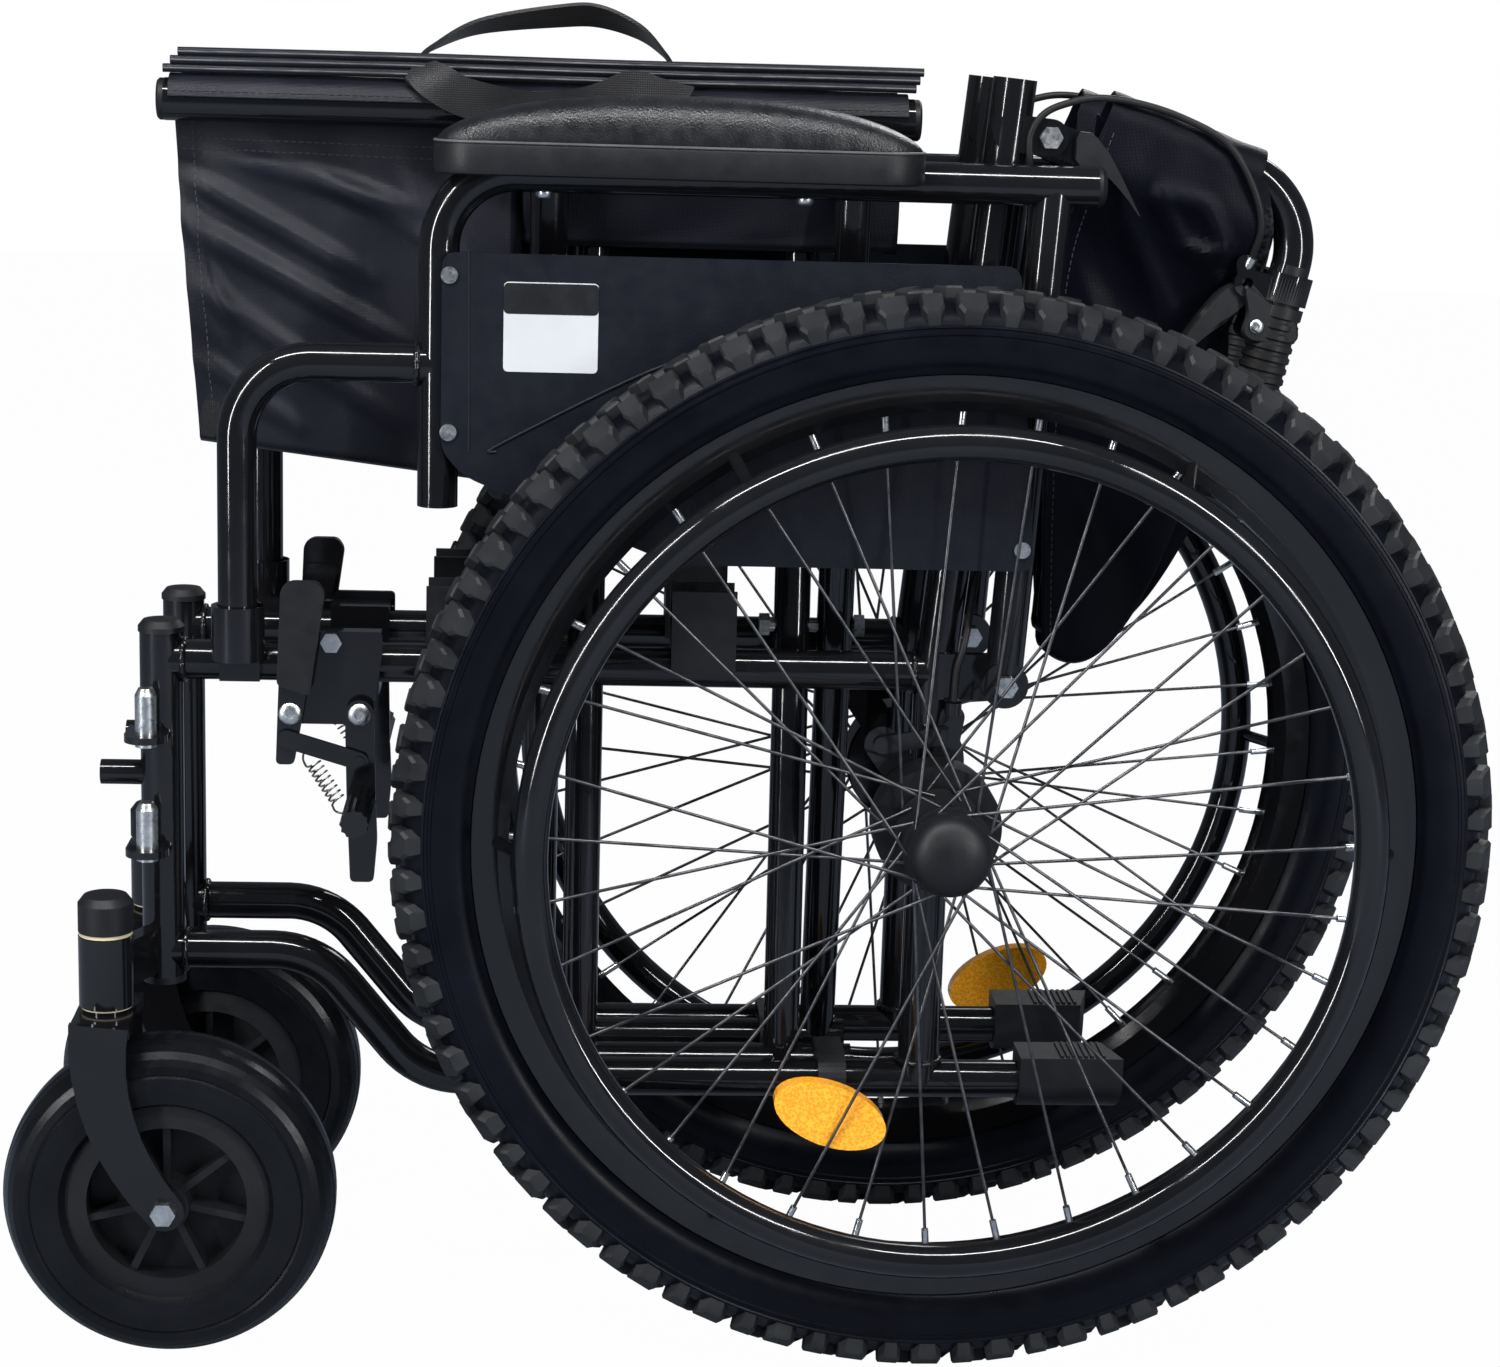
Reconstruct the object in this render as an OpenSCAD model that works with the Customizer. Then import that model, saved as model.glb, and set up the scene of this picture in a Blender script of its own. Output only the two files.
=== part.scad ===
// Folding all terrain wheelchair, folded: side frames together, back canes down, no footrests.
// Lengths are measured forward of the rear axle, upward from the floor and outward from the middle.

/* [Side frame] */
// Distance of each side frame from the middle, folded
frame_y = 50; // [49:0.5:52]
// Diameter of the rails and the arm tubes
tube_d = 22; // [20:0.5:23]
// Diameter of the front and rear uprights
upright_d = 24; // [23.5:0.5:25]
// Wall of the open tube ends
tube_wall = 1.6; // [1.2:0.1:3]
// Height of the lower rail
lower_rail_z = 143; // [138:1:148]
// Height of the raised front end of the lower rail
front_rail_z = 217; // [212:1:222]
// Height of the top rail
top_rail_z = 385; // [378:1:390]
// Distance of the front upright from the axle
front_upright_x = 433; // [420:1:440]
// Height of the lower end of the front upright
front_foot_z = 203; // [200:1:206]
// Height of the top of the rear upright
rear_upright_z = 715; // [690:1:730]
// Rearward lean of the rear upright above the top rail
upright_lean = 5.2; // [3:0.1:7]
// Distance of the rear end of the lower rail behind the axle
lower_rail_rear = 70; // [60:1:90]
// Bend radius of the lower rail
rail_bend_r = 50; // [40:1:60]

/* [Folding brace] */
// Inward distance of the hinge tube from its side frame
hinge_inset = 27; // [26:0.5:28]
// Distance of each side frame from the middle, open
open_half = 250; // [230:1:280]
// Height of the seat rails when the chair is open
seat_rest_z = 423; // [421:1:430]
// Places of the legs of brace A along the hinge tube
leg_a_x = [78, 197];
// Places of the legs of brace B along the hinge tube
leg_b_x = [53, 222];
// Rear end of the seat rails
seat_rail_rear = 22; // [18:1:30]
// Front end of the seat rails
seat_rail_front = 431; // [400:1:431]
// Diameter of the brace pivot bolts
pivot_bolt_d = 8; // [6:0.5:10]

/* [Rear wheel] */
// Outer radius of the tyre over its knobs
wheel_r = 304; // [302:0.5:305]
// Distance of the wheel plane from the middle, folded
wheel_y = 119; // [118:0.5:126]
// Width of the tyre
tyre_w = 50; // [46:0.5:51]
// Height of the tyre over the rim edge
tyre_h = 46; // [44:0.5:49]
// Knobs round each shoulder of the tyre
knob_count = 44; // [24:4:60]
// Spokes in the wheel
spoke_count = 36; // [28:4:36]
// Diameter of a spoke
spoke_d = 1.8; // [1.6:0.1:2]
// Radius of the handrim circle
handrim_r = 226; // [215:1:230]
// Diameter of the handrim tube
handrim_d = 19; // [16:0.5:20]
// Outward distance of the handrim from the wheel plane
handrim_out = 46; // [44:0.5:52]
// Diameter of the rear axle bolt
axle_d = 12; // [10:0.5:14]

/* [Caster] */
// Radius of the caster tyre
caster_r = 92; // [85:0.5:94]
// Width of the caster tyre
caster_w = 48; // [40:0.5:50]
// Height of the caster tyre over its rim
caster_tyre_h = 36; // [32:0.5:40]
// Distance of the caster stem from the axle
stem_x = 458; // [452:1:462]
// Distance of the caster stem from the middle
stem_y = 102; // [98:0.5:106]
// Rearward distance of the caster axle from the stem
caster_trail = 34; // [28:0.5:38]
// Diameter of the stem bolt
stem_d = 12; // [10:0.5:14]
// Ribs on each face of the caster rim
rib_count = 7; // [5:1:9]

/* [Armrest] */
// Distance of the armrest tubes from the middle
arm_y = 76; // [75.5:0.25:76.5]
// Height of the arm tube
arm_z = 659; // [640:1:665]
// Place of the front post
arm_front_x = 388; // [380:1:392]
// Height of the link between the front post and the second post
arm_link_z = 555; // [540:1:570]
// Place of the second post
arm_mid_x = 280; // [270:1:290]
// Height of the open lower end of the second post
arm_mid_z = 478; // [465:1:490]
// Distance of the rear end of the arm tube behind the axle
arm_rear = 73; // [68:1:80]
// Bend radius of the arm tubes
arm_bend_r = 42; // [35:1:46]
// Rearward distance of the armrest pivot from the axle
arm_pivot_back = 35; // [33:0.5:37]
// Length of the arm pad
pad_l = 261; // [220:1:275]
// Width of the arm pad
pad_w = 48; // [40:0.5:50]
// Height of the base band of the pad
pad_base_h = 17; // [14:0.5:20]
// Height of the crown of the pad over its base band
pad_crown_h = 26; // [14:0.5:30]
// Thickness of the skirt guard
skirt_t = 3; // [2:0.1:3.2]

/* [Back cane] */
// Distance of the back hinge bolt behind the upright axis
cane_offset = 22; // [21.5:0.25:23]
// Distance of the back hinge bolt below the upright top
cane_drop = 29; // [25:1:33]
// Turn of the cane from upright to folded
cane_fold = 104; // [95:1:108]
// Straight length of the cane up to the middle of its bend
cane_l = 118; // [105:1:130]
// Turn of the handle bend
handle_turn = 83; // [75:1:95]
// Bend radius of the handle
handle_bend_r = 45; // [38:1:48]
// Diameter of the hand grip
grip_d = 27; // [25:0.5:28]
// Length of the hand grip
grip_l = 108; // [90:1:120]

/* [Hand brake] */
// Radius of the brake drum
drum_r = 36; // [34:0.5:38]
// Diameter of the brake cable
cable_d = 4; // [3:0.25:4]
// Length of the brake lever blade
blade_l = 66; // [50:1:75]

/* [Parking brake] */
// Length of the brake lever over its pivot
park_lever_l = 72; // [60:1:85]
// Rearward tilt of the brake lever
park_tilt = 5; // [0:1:12]
// Diameter of the knurled shoe bar
shoe_d = 16; // [12:0.5:17]
// Curls of the return spring
spring_curls = 8; // [5:1:10]

/* [Hidden] */
$fn = 48;
fit = 0.05;
gap = 0.3;
// A bend draws its tube a little thinner, and the straights lap into it.
bend_draw = 0.1;
bend_lap = 1;
frame_black = [0.05, 0.05, 0.055];
plastic_black = [0.11, 0.11, 0.12];
rubber_black = [0.14, 0.14, 0.145];
cloth_navy = [0.07, 0.075, 0.1];
zinc = [0.75, 0.76, 0.77];
amber = [0.95, 0.55, 0.05];

// The floor midpoint under the folded chair is the origin.
caster_x = stem_x - caster_trail;
front_reach = caster_x + caster_r;
axle_x = -(front_reach - wheel_r) / 2;
tube_r = tube_d / 2;
upright_r = upright_d / 2;
pedal_l = 60;
pedal_lap = 12;

// Folding brace: each leg runs from its hinge tube through the pivot to the seat rail of the other side.
hinge_y = frame_y - hinge_inset;
brace_l = norm([2 * open_half - hinge_inset, seat_rest_z - lower_rail_z]);
brace_open = acos((seat_rest_z - lower_rail_z) / brace_l);
brace_pivot = (open_half - hinge_inset) / sin(brace_open);
brace_rest = asin(hinge_y / brace_pivot);
seat_rail_z = lower_rail_z + brace_l * cos(brace_rest);
seat_rail_y = brace_l * sin(brace_rest) - hinge_y;
hinge_ends = [min(leg_b_x) - 16, max(leg_b_x) + 16];
clamp_w = 16;
clamp_t = 4;
clamp_left_x = [leg_a_x[0] - tube_r - clamp_w, leg_a_x[1] + tube_r + clamp_w];
clamp_right_x = [leg_b_x[0] + tube_r + clamp_w, leg_b_x[1] - tube_r - clamp_w];
saddle_x = [132, 268];
saddle_l = 36;
saddle_side = 1.2;
saddle_wall = 4;

// Rear upright and back hinge, along the leaning part of the upright.
upright_up = [-sin(upright_lean), 0, cos(upright_lean)];
upright_len = (rear_upright_z - top_rail_z) / cos(upright_lean);
upright_top = [0, frame_y, top_rail_z] + upright_len * upright_up;
upright_back = [-cos(upright_lean), 0, -sin(upright_lean)];
cane_bolt = upright_top - cane_drop * upright_up + cane_offset * upright_back;
cane_bolt_d = 8;
knuckle_r = cane_offset - upright_r - 1;
cane_start = cane_drop + 1.5;
ear_t = 2.5;
ear_gap = 16;
handle_reach = handle_bend_r * tan(handle_turn / 2);
lever_ring_s = handle_reach + 4;
lever_ring_l = 16;
grip_s = lever_ring_s + lever_ring_l + 2;

// Armrest pivot, socket and pad.
arm_pivot = [-arm_pivot_back, arm_y, top_rail_z];
arm_bolt_d = 8;
arm_knuckle_r = 13;
arm_socket_d = tube_d + 7;
arm_socket_top = top_rail_z + 36;
arm_post_end = arm_socket_top - 15;
arm_post_play = 2.5;
arm_post_top = [-arm_pivot_back - 15, arm_y, arm_z];
bracket_y = [frame_y + 8, arm_y - tube_r - gap];
pad_rear_x = 22;
pad_y = arm_y - tube_r - 1 + pad_w / 2;
pad_z = arm_z - 1.5;
skirt_y = arm_y + tube_r + 0.2;
skirt_top = 616;
skirt_low = 450;
skirt_mid = 508;
skirt_front = arm_mid_x - tube_r - 4;
skirt_outline = [
    [skirt_front + 13, skirt_top], [-arm_pivot_back + 3, skirt_top], [-arm_pivot_back - 12, skirt_low],
    [150, skirt_low], [skirt_front, skirt_mid - 12], [skirt_front + 13, skirt_mid + 2]
];
skirt_screws = [
    [arm_mid_x - 6, skirt_top - 12], [arm_mid_x - 6, skirt_mid + 12], [-arm_pivot_back - 5, skirt_low + 12]
];
screw_d = 4;

// Rear wheel.
wheel_hub = [0, wheel_y, wheel_r];
rim_r = wheel_r - tyre_h;
knob_h = 6.5;
casing_r = wheel_r - knob_h;
bead_r = rim_r - 8;
rim_inner_r = rim_r - 20;
rim_half = tyre_w / 2 - 7.5;
flange_y = 20;
flange_r = 25;
spoke_hub_r = 21.5;
spoke_cross = 3 * 720 / spoke_count;
hub_bore_y = -29;
drum_in = 51;
nut_y = 25.2;
reflector_r = 168;
reflector_t = 9.6;
boss_y = upright_r + 1;
boss_end = frame_y + boss_y;
backplate_y = [boss_end + gap, boss_end + 3];

// Hub brake arm and its cable stop, from the axle.
arm_pin = [30, wheel_r + 42];
arm_end = [-4, wheel_r + 48];
cable_stop = [-9, wheel_r + 58];
stop_z = [cable_stop[1] + 2, cable_stop[1] + 9.5];
brake_arm_y = [backplate_y[1] + gap, backplate_y[1] + 3];
cable_y = 69;

// Caster and its housing.
caster_hub = [caster_x, stem_y, caster_r];
crown_z = 2 * caster_r + 6;
crown_t = 8;
housing_z = crown_z + crown_t + 3;
housing_h = 40;
cap_h = 21;
housing_d = 30;
fork_in = caster_w / 2 + 4;
fork_t = 5;
caster_bolt_d = 8;
caster_rim_r = caster_r - caster_tyre_h;
caster_web_r = caster_rim_r - 12;

// Footrest hanger pins on half round ears.
pin_z = [282, 347];
pin_d = 12;
pin_h = 26;
pin_out = [6, 22];
pin_ear_t = 4;

// Parking brake.
park_lever_pin = [360, 360];
park_shoe_pin = [322, 360];
park_pin_d = 8;
park_plate_y = [frame_y + tube_r + gap, frame_y + tube_r + 4];
park_bolt_h = 4;
park_arm_y = [park_plate_y[1] + park_bolt_h + gap, park_plate_y[1] + park_bolt_h + 4];
shoe_bar = [321, 312];
link_y = [park_arm_y[1] + gap, park_arm_y[1] + 3];
link_ends = [[362, 346], [322, 334]];
shoe_end = wheel_y + 12;
spring_wire = 1.2;
spring_r = 4.2;
spring_top = [348, 332];
spring_low = [333.6, 310];

// Brake cable route from the hand lever over the back hinge, down behind the upright to the hub brake.
cable_route = [
    [-164, 50, 618], [-166, 55, 640], [-160, 63.4, 662], [-145, 63.4, 684], [-120, 63.2, 697],
    [-95, 63, 704], [-74, 63, 706], [-58, 63, 703], [-45, 63, 697], [-38, 63, 686], [-38, 62.5, 672],
    [-41, 55, 655], [-41, 49, 628], [-37, 48, 590], [-32, 48, 540], [-27, 48, 490], [-22, 50, 448],
    [-19, 56, 430], [-16, 64, 416], [-13, 68.5, 402], [-10, cable_y, 390], [-9, cable_y, stop_z[1] + 0.5]
];

function unit(v) = v / norm(v);

// Corners of an outline rounded by short curves that start t before each corner.
function rounded(pts, t, n = 5) = [
    for (i = [0:len(pts) - 1])
        let (q = pts[i], p = pts[(i + len(pts) - 1) % len(pts)], s = pts[(i + 1) % len(pts)])
        let (a = q + t * unit(p - q), b = q + t * unit(s - q))
        for (k = [0:n]) pow(1 - k / n, 2) * a + 2 * (k / n) * (1 - k / n) * q + pow(k / n, 2) * b
];

module left() translate([axle_x, 0, 0]) children();

module right() translate([axle_x, 0, 0]) mirror([0, 1, 0]) children();

module bar(p, q, d) {
    v = q - p;
    translate(p)
        rotate([0, acos(v.z / norm(v)), atan2(v.y, v.x)])
            cylinder(d = d, h = norm(v));
}

// Elbow of a bent tube at corner p, between directions u and w.
module elbow(p, u, w, d, r) {
    a = acos(u * w);
    c = p + unit(w - u) * r / cos(a / 2);
    e = -unit(w - u * (u * w));
    n = cross(e, u);
    multmatrix([[e.x, u.x, n.x, c.x], [e.y, u.y, n.y, c.y], [e.z, u.z, n.z, c.z], [0, 0, 0, 1]])
        rotate_extrude(angle = a) translate([r, 0]) circle(d = d);
}

// Tube through corner points, with round bends of radius r.
module bent_tube(pts, d, r) {
    last = len(pts) - 1;
    dirs = [for (i = [0:last - 1]) unit(pts[i + 1] - pts[i])];
    cut = [for (i = [0:last]) i == 0 || i == last ? 0 : r * tan(acos(dirs[i - 1] * dirs[i]) / 2) - bend_lap];
    for (i = [0:last - 1]) bar(pts[i] + cut[i] * dirs[i], pts[i + 1] - cut[i + 1] * dirs[i], d);
    for (i = [1:last - 1]) elbow(pts[i], dirs[i - 1], dirs[i], d - bend_draw, r);
}

// Cylinder along Y between two distances from the middle, at a place given as x and z.
module pin_y(p, y, d) translate([p[0], y[0], p[1]]) rotate([-90, 0, 0]) cylinder(d = d, h = y[1] - y[0]);

// Plate between two distances from the middle, its outline given in x and z.
module plate_y(y) translate([0, y[1], 0]) rotate([90, 0, 0]) linear_extrude(y[1] - y[0]) children();

// Hexagon head or nut along Y.
module hex_y(p, y, d)
    translate([p[0], y[0], p[1]]) rotate([-90, 0, 0]) cylinder(d = d, h = y[1] - y[0], $fn = 6);

// Round body about an axis along Y through a point, its outline given in radius and y.
module turned(p) translate(p) rotate([-90, 0, 0]) rotate_extrude($fn = 96) children();

// Strip with round ends between two points of an outline.
module link_2d(p, q, d) {
    v = q - p;
    a = atan2(v[1], v[0]);
    polygon([
        for (t = [90:12:270]) p + d / 2 * [cos(a + t), sin(a + t)],
        for (t = [-90:12:90]) q + d / 2 * [cos(a + t), sin(a + t)]
    ]);
}

// Closed skin between two grids of points that have the same rows and columns.
module skin(top, low) {
    rows = len(top);
    cols = len(top[0]);
    half = rows * cols;
    rim = concat(
        [for (j = [0:cols - 2]) j], [for (i = [0:rows - 2]) i * cols + cols - 1],
        [for (j = [cols - 1:-1:1]) (rows - 1) * cols + j], [for (i = [rows - 1:-1:1]) i * cols]
    );
    polyhedron(
        points = concat([for (row = top) for (p = row) p], [for (row = low) for (p = row) p]),
        faces = concat(
            [for (i = [0:rows - 2]) for (j = [0:cols - 2]) let (k = i * cols + j) [k, k + 1, k + cols]],
            [for (i = [0:rows - 2]) for (j = [0:cols - 2])
                let (k = i * cols + j) [k + 1, k + cols + 1, k + cols]],
            [for (i = [0:rows - 2]) for (j = [0:cols - 2]) let (k = half + i * cols + j) [k + 1, k, k + cols]],
            [for (i = [0:rows - 2]) for (j = [0:cols - 2])
                let (k = half + i * cols + j) [k + cols + 1, k + 1, k + cols]],
            [for (i = [0:len(rim) - 1])
                let (a = rim[i], b = rim[(i + 1) % len(rim)]) [b, a, a + half]],
            [for (i = [0:len(rim) - 1])
                let (a = rim[i], b = rim[(i + 1) % len(rim)]) [b, a + half, b + half]]
        )
    );
}

// Tube of n sides swept along points; side lies square to the tube all along.
module swept(pts, d, n, side) {
    last = len(pts) - 1;
    dirs = [for (i = [0:last]) unit(pts[min(i + 1, last)] - pts[max(i - 1, 0)])];
    rings = [
        for (i = [0:last])
            let (a = unit(cross(side, dirs[i])), b = cross(dirs[i], a))
            [for (k = [0:n - 1]) pts[i] + d / 2 * (cos(360 * k / n) * a + sin(360 * k / n) * b)]
    ];
    polyhedron(
        points = [for (ring = rings) for (p = ring) p],
        faces = concat(
            [for (i = [0:last - 1]) for (k = [0:n - 1]) [i * n + k, (i + 1) * n + k, i * n + (k + 1) % n]],
            [for (i = [0:last - 1]) for (k = [0:n - 1])
                [(i + 1) * n + k, (i + 1) * n + (k + 1) % n, i * n + (k + 1) % n]],
            [for (k = [1:n - 2]) [0, k, k + 1]],
            [for (k = [1:n - 2]) [last * n, last * n + k + 1, last * n + k]]
        )
    );
}

// Side frame

module frame_tubes() {
    bar([front_upright_x, frame_y, front_foot_z], [front_upright_x, frame_y, top_rail_z + 16], upright_d);
    bar([front_upright_x, frame_y, top_rail_z], [0, frame_y, top_rail_z], tube_d);
    bent_tube([
        [front_upright_x, frame_y, front_rail_z], [348, frame_y, front_rail_z],
        [288, frame_y, lower_rail_z], [-lower_rail_rear, frame_y, lower_rail_z]
    ], tube_d, rail_bend_r);
    bent_tube([[0, frame_y, lower_rail_z], [0, frame_y, top_rail_z], upright_top], upright_d, 240);
}

// Ear of a footrest hanger pin, half round in plan.
module pin_ear(z) {
    translate([front_upright_x, frame_y, z - pin_ear_t]) {
        translate([pin_out[0], pin_out[1], 0]) cylinder(r = pin_d, h = pin_ear_t);
        translate([pin_out[0] - pin_d, 0, 0]) cube([2 * pin_d, pin_out[1], pin_ear_t]);
    }
}

// Plates each side of the back cane's knuckle.
module back_ears() {
    bolt = [cane_bolt.x, cane_bolt.z];
    root = bolt - cane_offset * [upright_back.x, upright_back.z];
    for (y = [frame_y - ear_gap / 2 - ear_t, frame_y + ear_gap / 2])
        plate_y([y, y + ear_t]) link_2d(bolt, root, 2 * knuckle_r + 2);
}

module caster_housing() {
    translate([stem_x, stem_y, housing_z]) cylinder(d = housing_d, h = housing_h);
    v = [stem_x - front_upright_x, stem_y - frame_y];
    translate([front_upright_x, frame_y, housing_z + 6])
        rotate(atan2(v[1], v[0])) translate([0, -5, 0]) cube([norm(v), 10, housing_h - 14]);
}

module arm_socket() {
    low = top_rail_z + 6;
    translate([arm_front_x, arm_y, low]) cylinder(d = arm_socket_d, h = arm_socket_top - low);
    translate([arm_front_x - tube_r, frame_y + 4, top_rail_z - 8]) cube([tube_d, arm_y - frame_y - 10, 24]);
}

// Bracket behind the rear upright that carries the armrest pivot bolt.
module arm_bracket() {
    height = 2 * arm_knuckle_r;
    pin_y([arm_pivot.x, arm_pivot.z], bracket_y, height);
    translate([arm_pivot.x, bracket_y[0], top_rail_z - height / 2])
        cube([arm_pivot_back, bracket_y[1] - bracket_y[0], height]);
}

module side_frame() {
    color(frame_black) difference() {
        union() {
            frame_tubes();
            for (z = pin_z) pin_ear(z);
            translate([front_upright_x, frame_y, 320]) rotate([0, 90, 0]) cylinder(d = 14, h = 34);
            back_ears();
            caster_housing();
            arm_socket();
            arm_bracket();
            pin_y([0, wheel_r], [frame_y, boss_end], 26);
        }
        translate([stem_x, stem_y, housing_z - 1]) cylinder(d = stem_d + 2 * fit, h = housing_h + 2);
        pin_y([0, wheel_r], [frame_y - 40, boss_end + 1], axle_d + 2 * fit);
        translate(upright_top - 45 * upright_up)
            rotate([0, -upright_lean, 0]) cylinder(d = upright_d - 2 * tube_wall, h = 46);
        pin_y([cane_bolt.x, cane_bolt.z], [0, 2 * frame_y], cane_bolt_d + 2 * fit);
        pin_y([arm_pivot.x, arm_pivot.z], [bracket_y[0] - 1, bracket_y[1] + 1], arm_bolt_d + 2 * fit);
        for (z = pin_z)
            translate([front_upright_x + pin_out[0], frame_y + pin_out[1], z - 20])
                cylinder(d = pin_d - 4, h = 40);
        for (play = [0, arm_post_play])
            translate([arm_front_x - play, arm_y, arm_post_end - 4])
                cylinder(d = tube_d + 2 * gap, h = arm_socket_top);
    }
}

// Caps and plugs of the open tube ends.
module tube_caps() {
    color(plastic_black) {
        top = top_rail_z + 16;
        translate([front_upright_x, frame_y, top])
            rotate_extrude()
                polygon([[0, 0], [upright_r + 0.8, 0], [upright_r + 0.8, 3], [upright_r - 2, 6.5], [0, 8]]);
        translate([front_upright_x, frame_y, front_foot_z - 4]) cylinder(d = upright_d, h = 4);
        tip_pedal();
    }
}

// Pedal on the rear end of the lower rail: flat ribbed top, round below, rear end cut on a slant.
module tip_pedal() {
    half = tube_r + 4;
    top = tube_r + 6.5;
    rib = 3.5;
    difference() {
        translate([-lower_rail_rear - pedal_l + pedal_lap, frame_y, lower_rail_z]) {
            rotate([90, 0, 90]) linear_extrude(pedal_l) {
                circle(r = half);
                translate([-half, 0]) square([2 * half, top]);
            }
            for (i = [0:7]) translate([10 + i * rib, -half + 2, top - 1]) cube([rib / 2, 2 * half - 4, 2.2]);
        }
        bar([-lower_rail_rear, frame_y, lower_rail_z], [-lower_rail_rear + 40, frame_y, lower_rail_z], tube_d);
        translate([-lower_rail_rear - pedal_l + pedal_lap, frame_y + half, lower_rail_z - 2 * half])
            rotate(15) translate([-20, -3 * half, 0]) cube([20, 4 * half, 4 * half]);
    }
}

// Cradle on the top rail that the seat rail drops into when the chair opens.
module seat_saddle(x) {
    half = tube_r + saddle_side + saddle_wall;
    translate([x - saddle_l / 2, 0, 0]) difference() {
        translate([0, frame_y - half, top_rail_z]) cube([saddle_l, 2 * half, seat_rest_z + 8 - top_rail_z]);
        translate([-1, frame_y, top_rail_z]) rotate([0, 90, 0]) cylinder(d = tube_d, h = saddle_l + 2);
        translate([-1, frame_y - half + saddle_wall, seat_rest_z - tube_r - 0.6])
            cube([saddle_l + 2, 2 * (half - saddle_wall), 40]);
    }
}

// Split clamp that carries the hinge tube beside the lower rail.
module hinge_clamp(x) {
    low = [hinge_y, lower_rail_z];
    rail = [frame_y, lower_rail_z];
    translate([x + clamp_w / 2, 0, 0]) rotate([90, 0, -90]) linear_extrude(clamp_w) difference() {
        mirror([1, 0]) link_2d(low, rail, tube_d + 2 * clamp_t);
        mirror([1, 0]) translate(low) circle(d = tube_d + 2 * fit);
        mirror([1, 0]) translate(rail) circle(d = tube_d);
    }
}

module rail_blocks(clamp_x) {
    color(plastic_black) {
        for (x = saddle_x) seat_saddle(x);
        for (x = clamp_x) hinge_clamp(x);
    }
}

// Zinc bolts and pins that stay on the side frame.
module frame_hardware() {
    color(zinc) {
        in_face = frame_y - upright_r;
        pin_y([0, wheel_r], [in_face - 1, wheel_y + nut_y + 1], axle_d);
        hex_y([0, wheel_r], [in_face - 7, in_face - 1], 21);
        hex_y([0, wheel_r], [wheel_y + nut_y, wheel_y + nut_y + 7], 20);
        ears = [frame_y - ear_gap / 2 - ear_t, frame_y + ear_gap / 2 + ear_t];
        pin_y([cane_bolt.x, cane_bolt.z], ears + [-3, 3], cane_bolt_d);
        hex_y([cane_bolt.x, cane_bolt.z], [ears[1], ears[1] + 3.4], 13);
        hex_y([cane_bolt.x, cane_bolt.z], [ears[0] - 5, ears[0]], 13);
        pin_y([arm_pivot.x, arm_pivot.z], [bracket_y[0], arm_y + tube_r + 2], arm_bolt_d);
        hex_y([arm_pivot.x, arm_pivot.z], [arm_y + tube_r - 0.5 + gap, arm_y + tube_r + 5], 13);
        hex_y([arm_pivot.x, arm_pivot.z], [bracket_y[0] - 6, bracket_y[0]], 13);
        for (z = pin_z) translate([front_upright_x + pin_out[0], frame_y + pin_out[1], z]) {
            cylinder(d = pin_d, h = pin_h - 4);
            translate([0, 0, pin_h - 4]) cylinder(d1 = pin_d, d2 = pin_d - 4, h = 4);
            translate([0, 0, -pin_ear_t]) cylinder(d = pin_d - 4, h = pin_ear_t);
            translate([0, 0, -pin_ear_t - 3]) cylinder(d = pin_d, h = 3);
        }
    }
}

// Cross braces and cloth

// Brace with its hinge tube on the given side; legs stand at the given places.
module brace(side, legs) {
    foot = [0, side * hinge_y, lower_rail_z];
    head = [0, -side * seat_rail_y, seat_rail_z];
    bar([hinge_ends[0], foot.y, foot.z], [hinge_ends[1], foot.y, foot.z], tube_d);
    bar([seat_rail_rear, head.y, head.z], [seat_rail_front, head.y, head.z], tube_d + 1);
    for (x = legs) bar([x, foot.y, foot.z], [x, head.y, head.z], tube_d - 1);
}

module pivot_bore(legs) {
    z = lower_rail_z + brace_pivot * cos(brace_rest);
    for (x = legs)
        translate([x - tube_d, 0, z]) rotate([0, 90, 0]) cylinder(d = pivot_bolt_d + 2 * fit, h = 2 * tube_d);
}

module brace_a() color(frame_black) difference() {
    brace(1, leg_a_x);
    pivot_bore(leg_a_x);
}

// Brace B carries the two pivot bolts, with a spacer washer between the legs.
module brace_b() {
    color(frame_black) difference() {
        brace(-1, leg_b_x);
        pivot_bore(leg_b_x);
    }
    z = lower_rail_z + brace_pivot * cos(brace_rest);
    reach = abs(leg_a_x[0] - leg_b_x[0]) + tube_d + 4;
    color(zinc) for (i = [0, 1]) translate([leg_b_x[i], 0, z]) rotate([0, i == 0 ? 90 : -90, 0]) {
        translate([0, 0, -tube_r - 2]) cylinder(d = pivot_bolt_d, h = reach);
        translate([0, 0, -tube_r - 6]) cylinder(d = 13, h = 6, $fn = 6);
        translate([0, 0, reach - tube_r - 2]) cylinder(d = 13, h = 6, $fn = 6);
    }
}

cloth_t = 2.4;

// Depth of the seat cloth below the rails: deep in front, drawn up where the brace legs pass.
deep_x = max(leg_b_x) + 16;
shallow_depth = 72;
deep_depth = 208;
front_rise = 22;
front_slant = 12;
function deep_share(x) = max(0, (x - deep_x) / (seat_rail_front - deep_x));
function seat_depth(x) =
    shallow_depth + (deep_depth - shallow_depth) * min(1, max(0, x - deep_x) / 14)
    - front_rise * pow(deep_share(x), 1.5);

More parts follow.
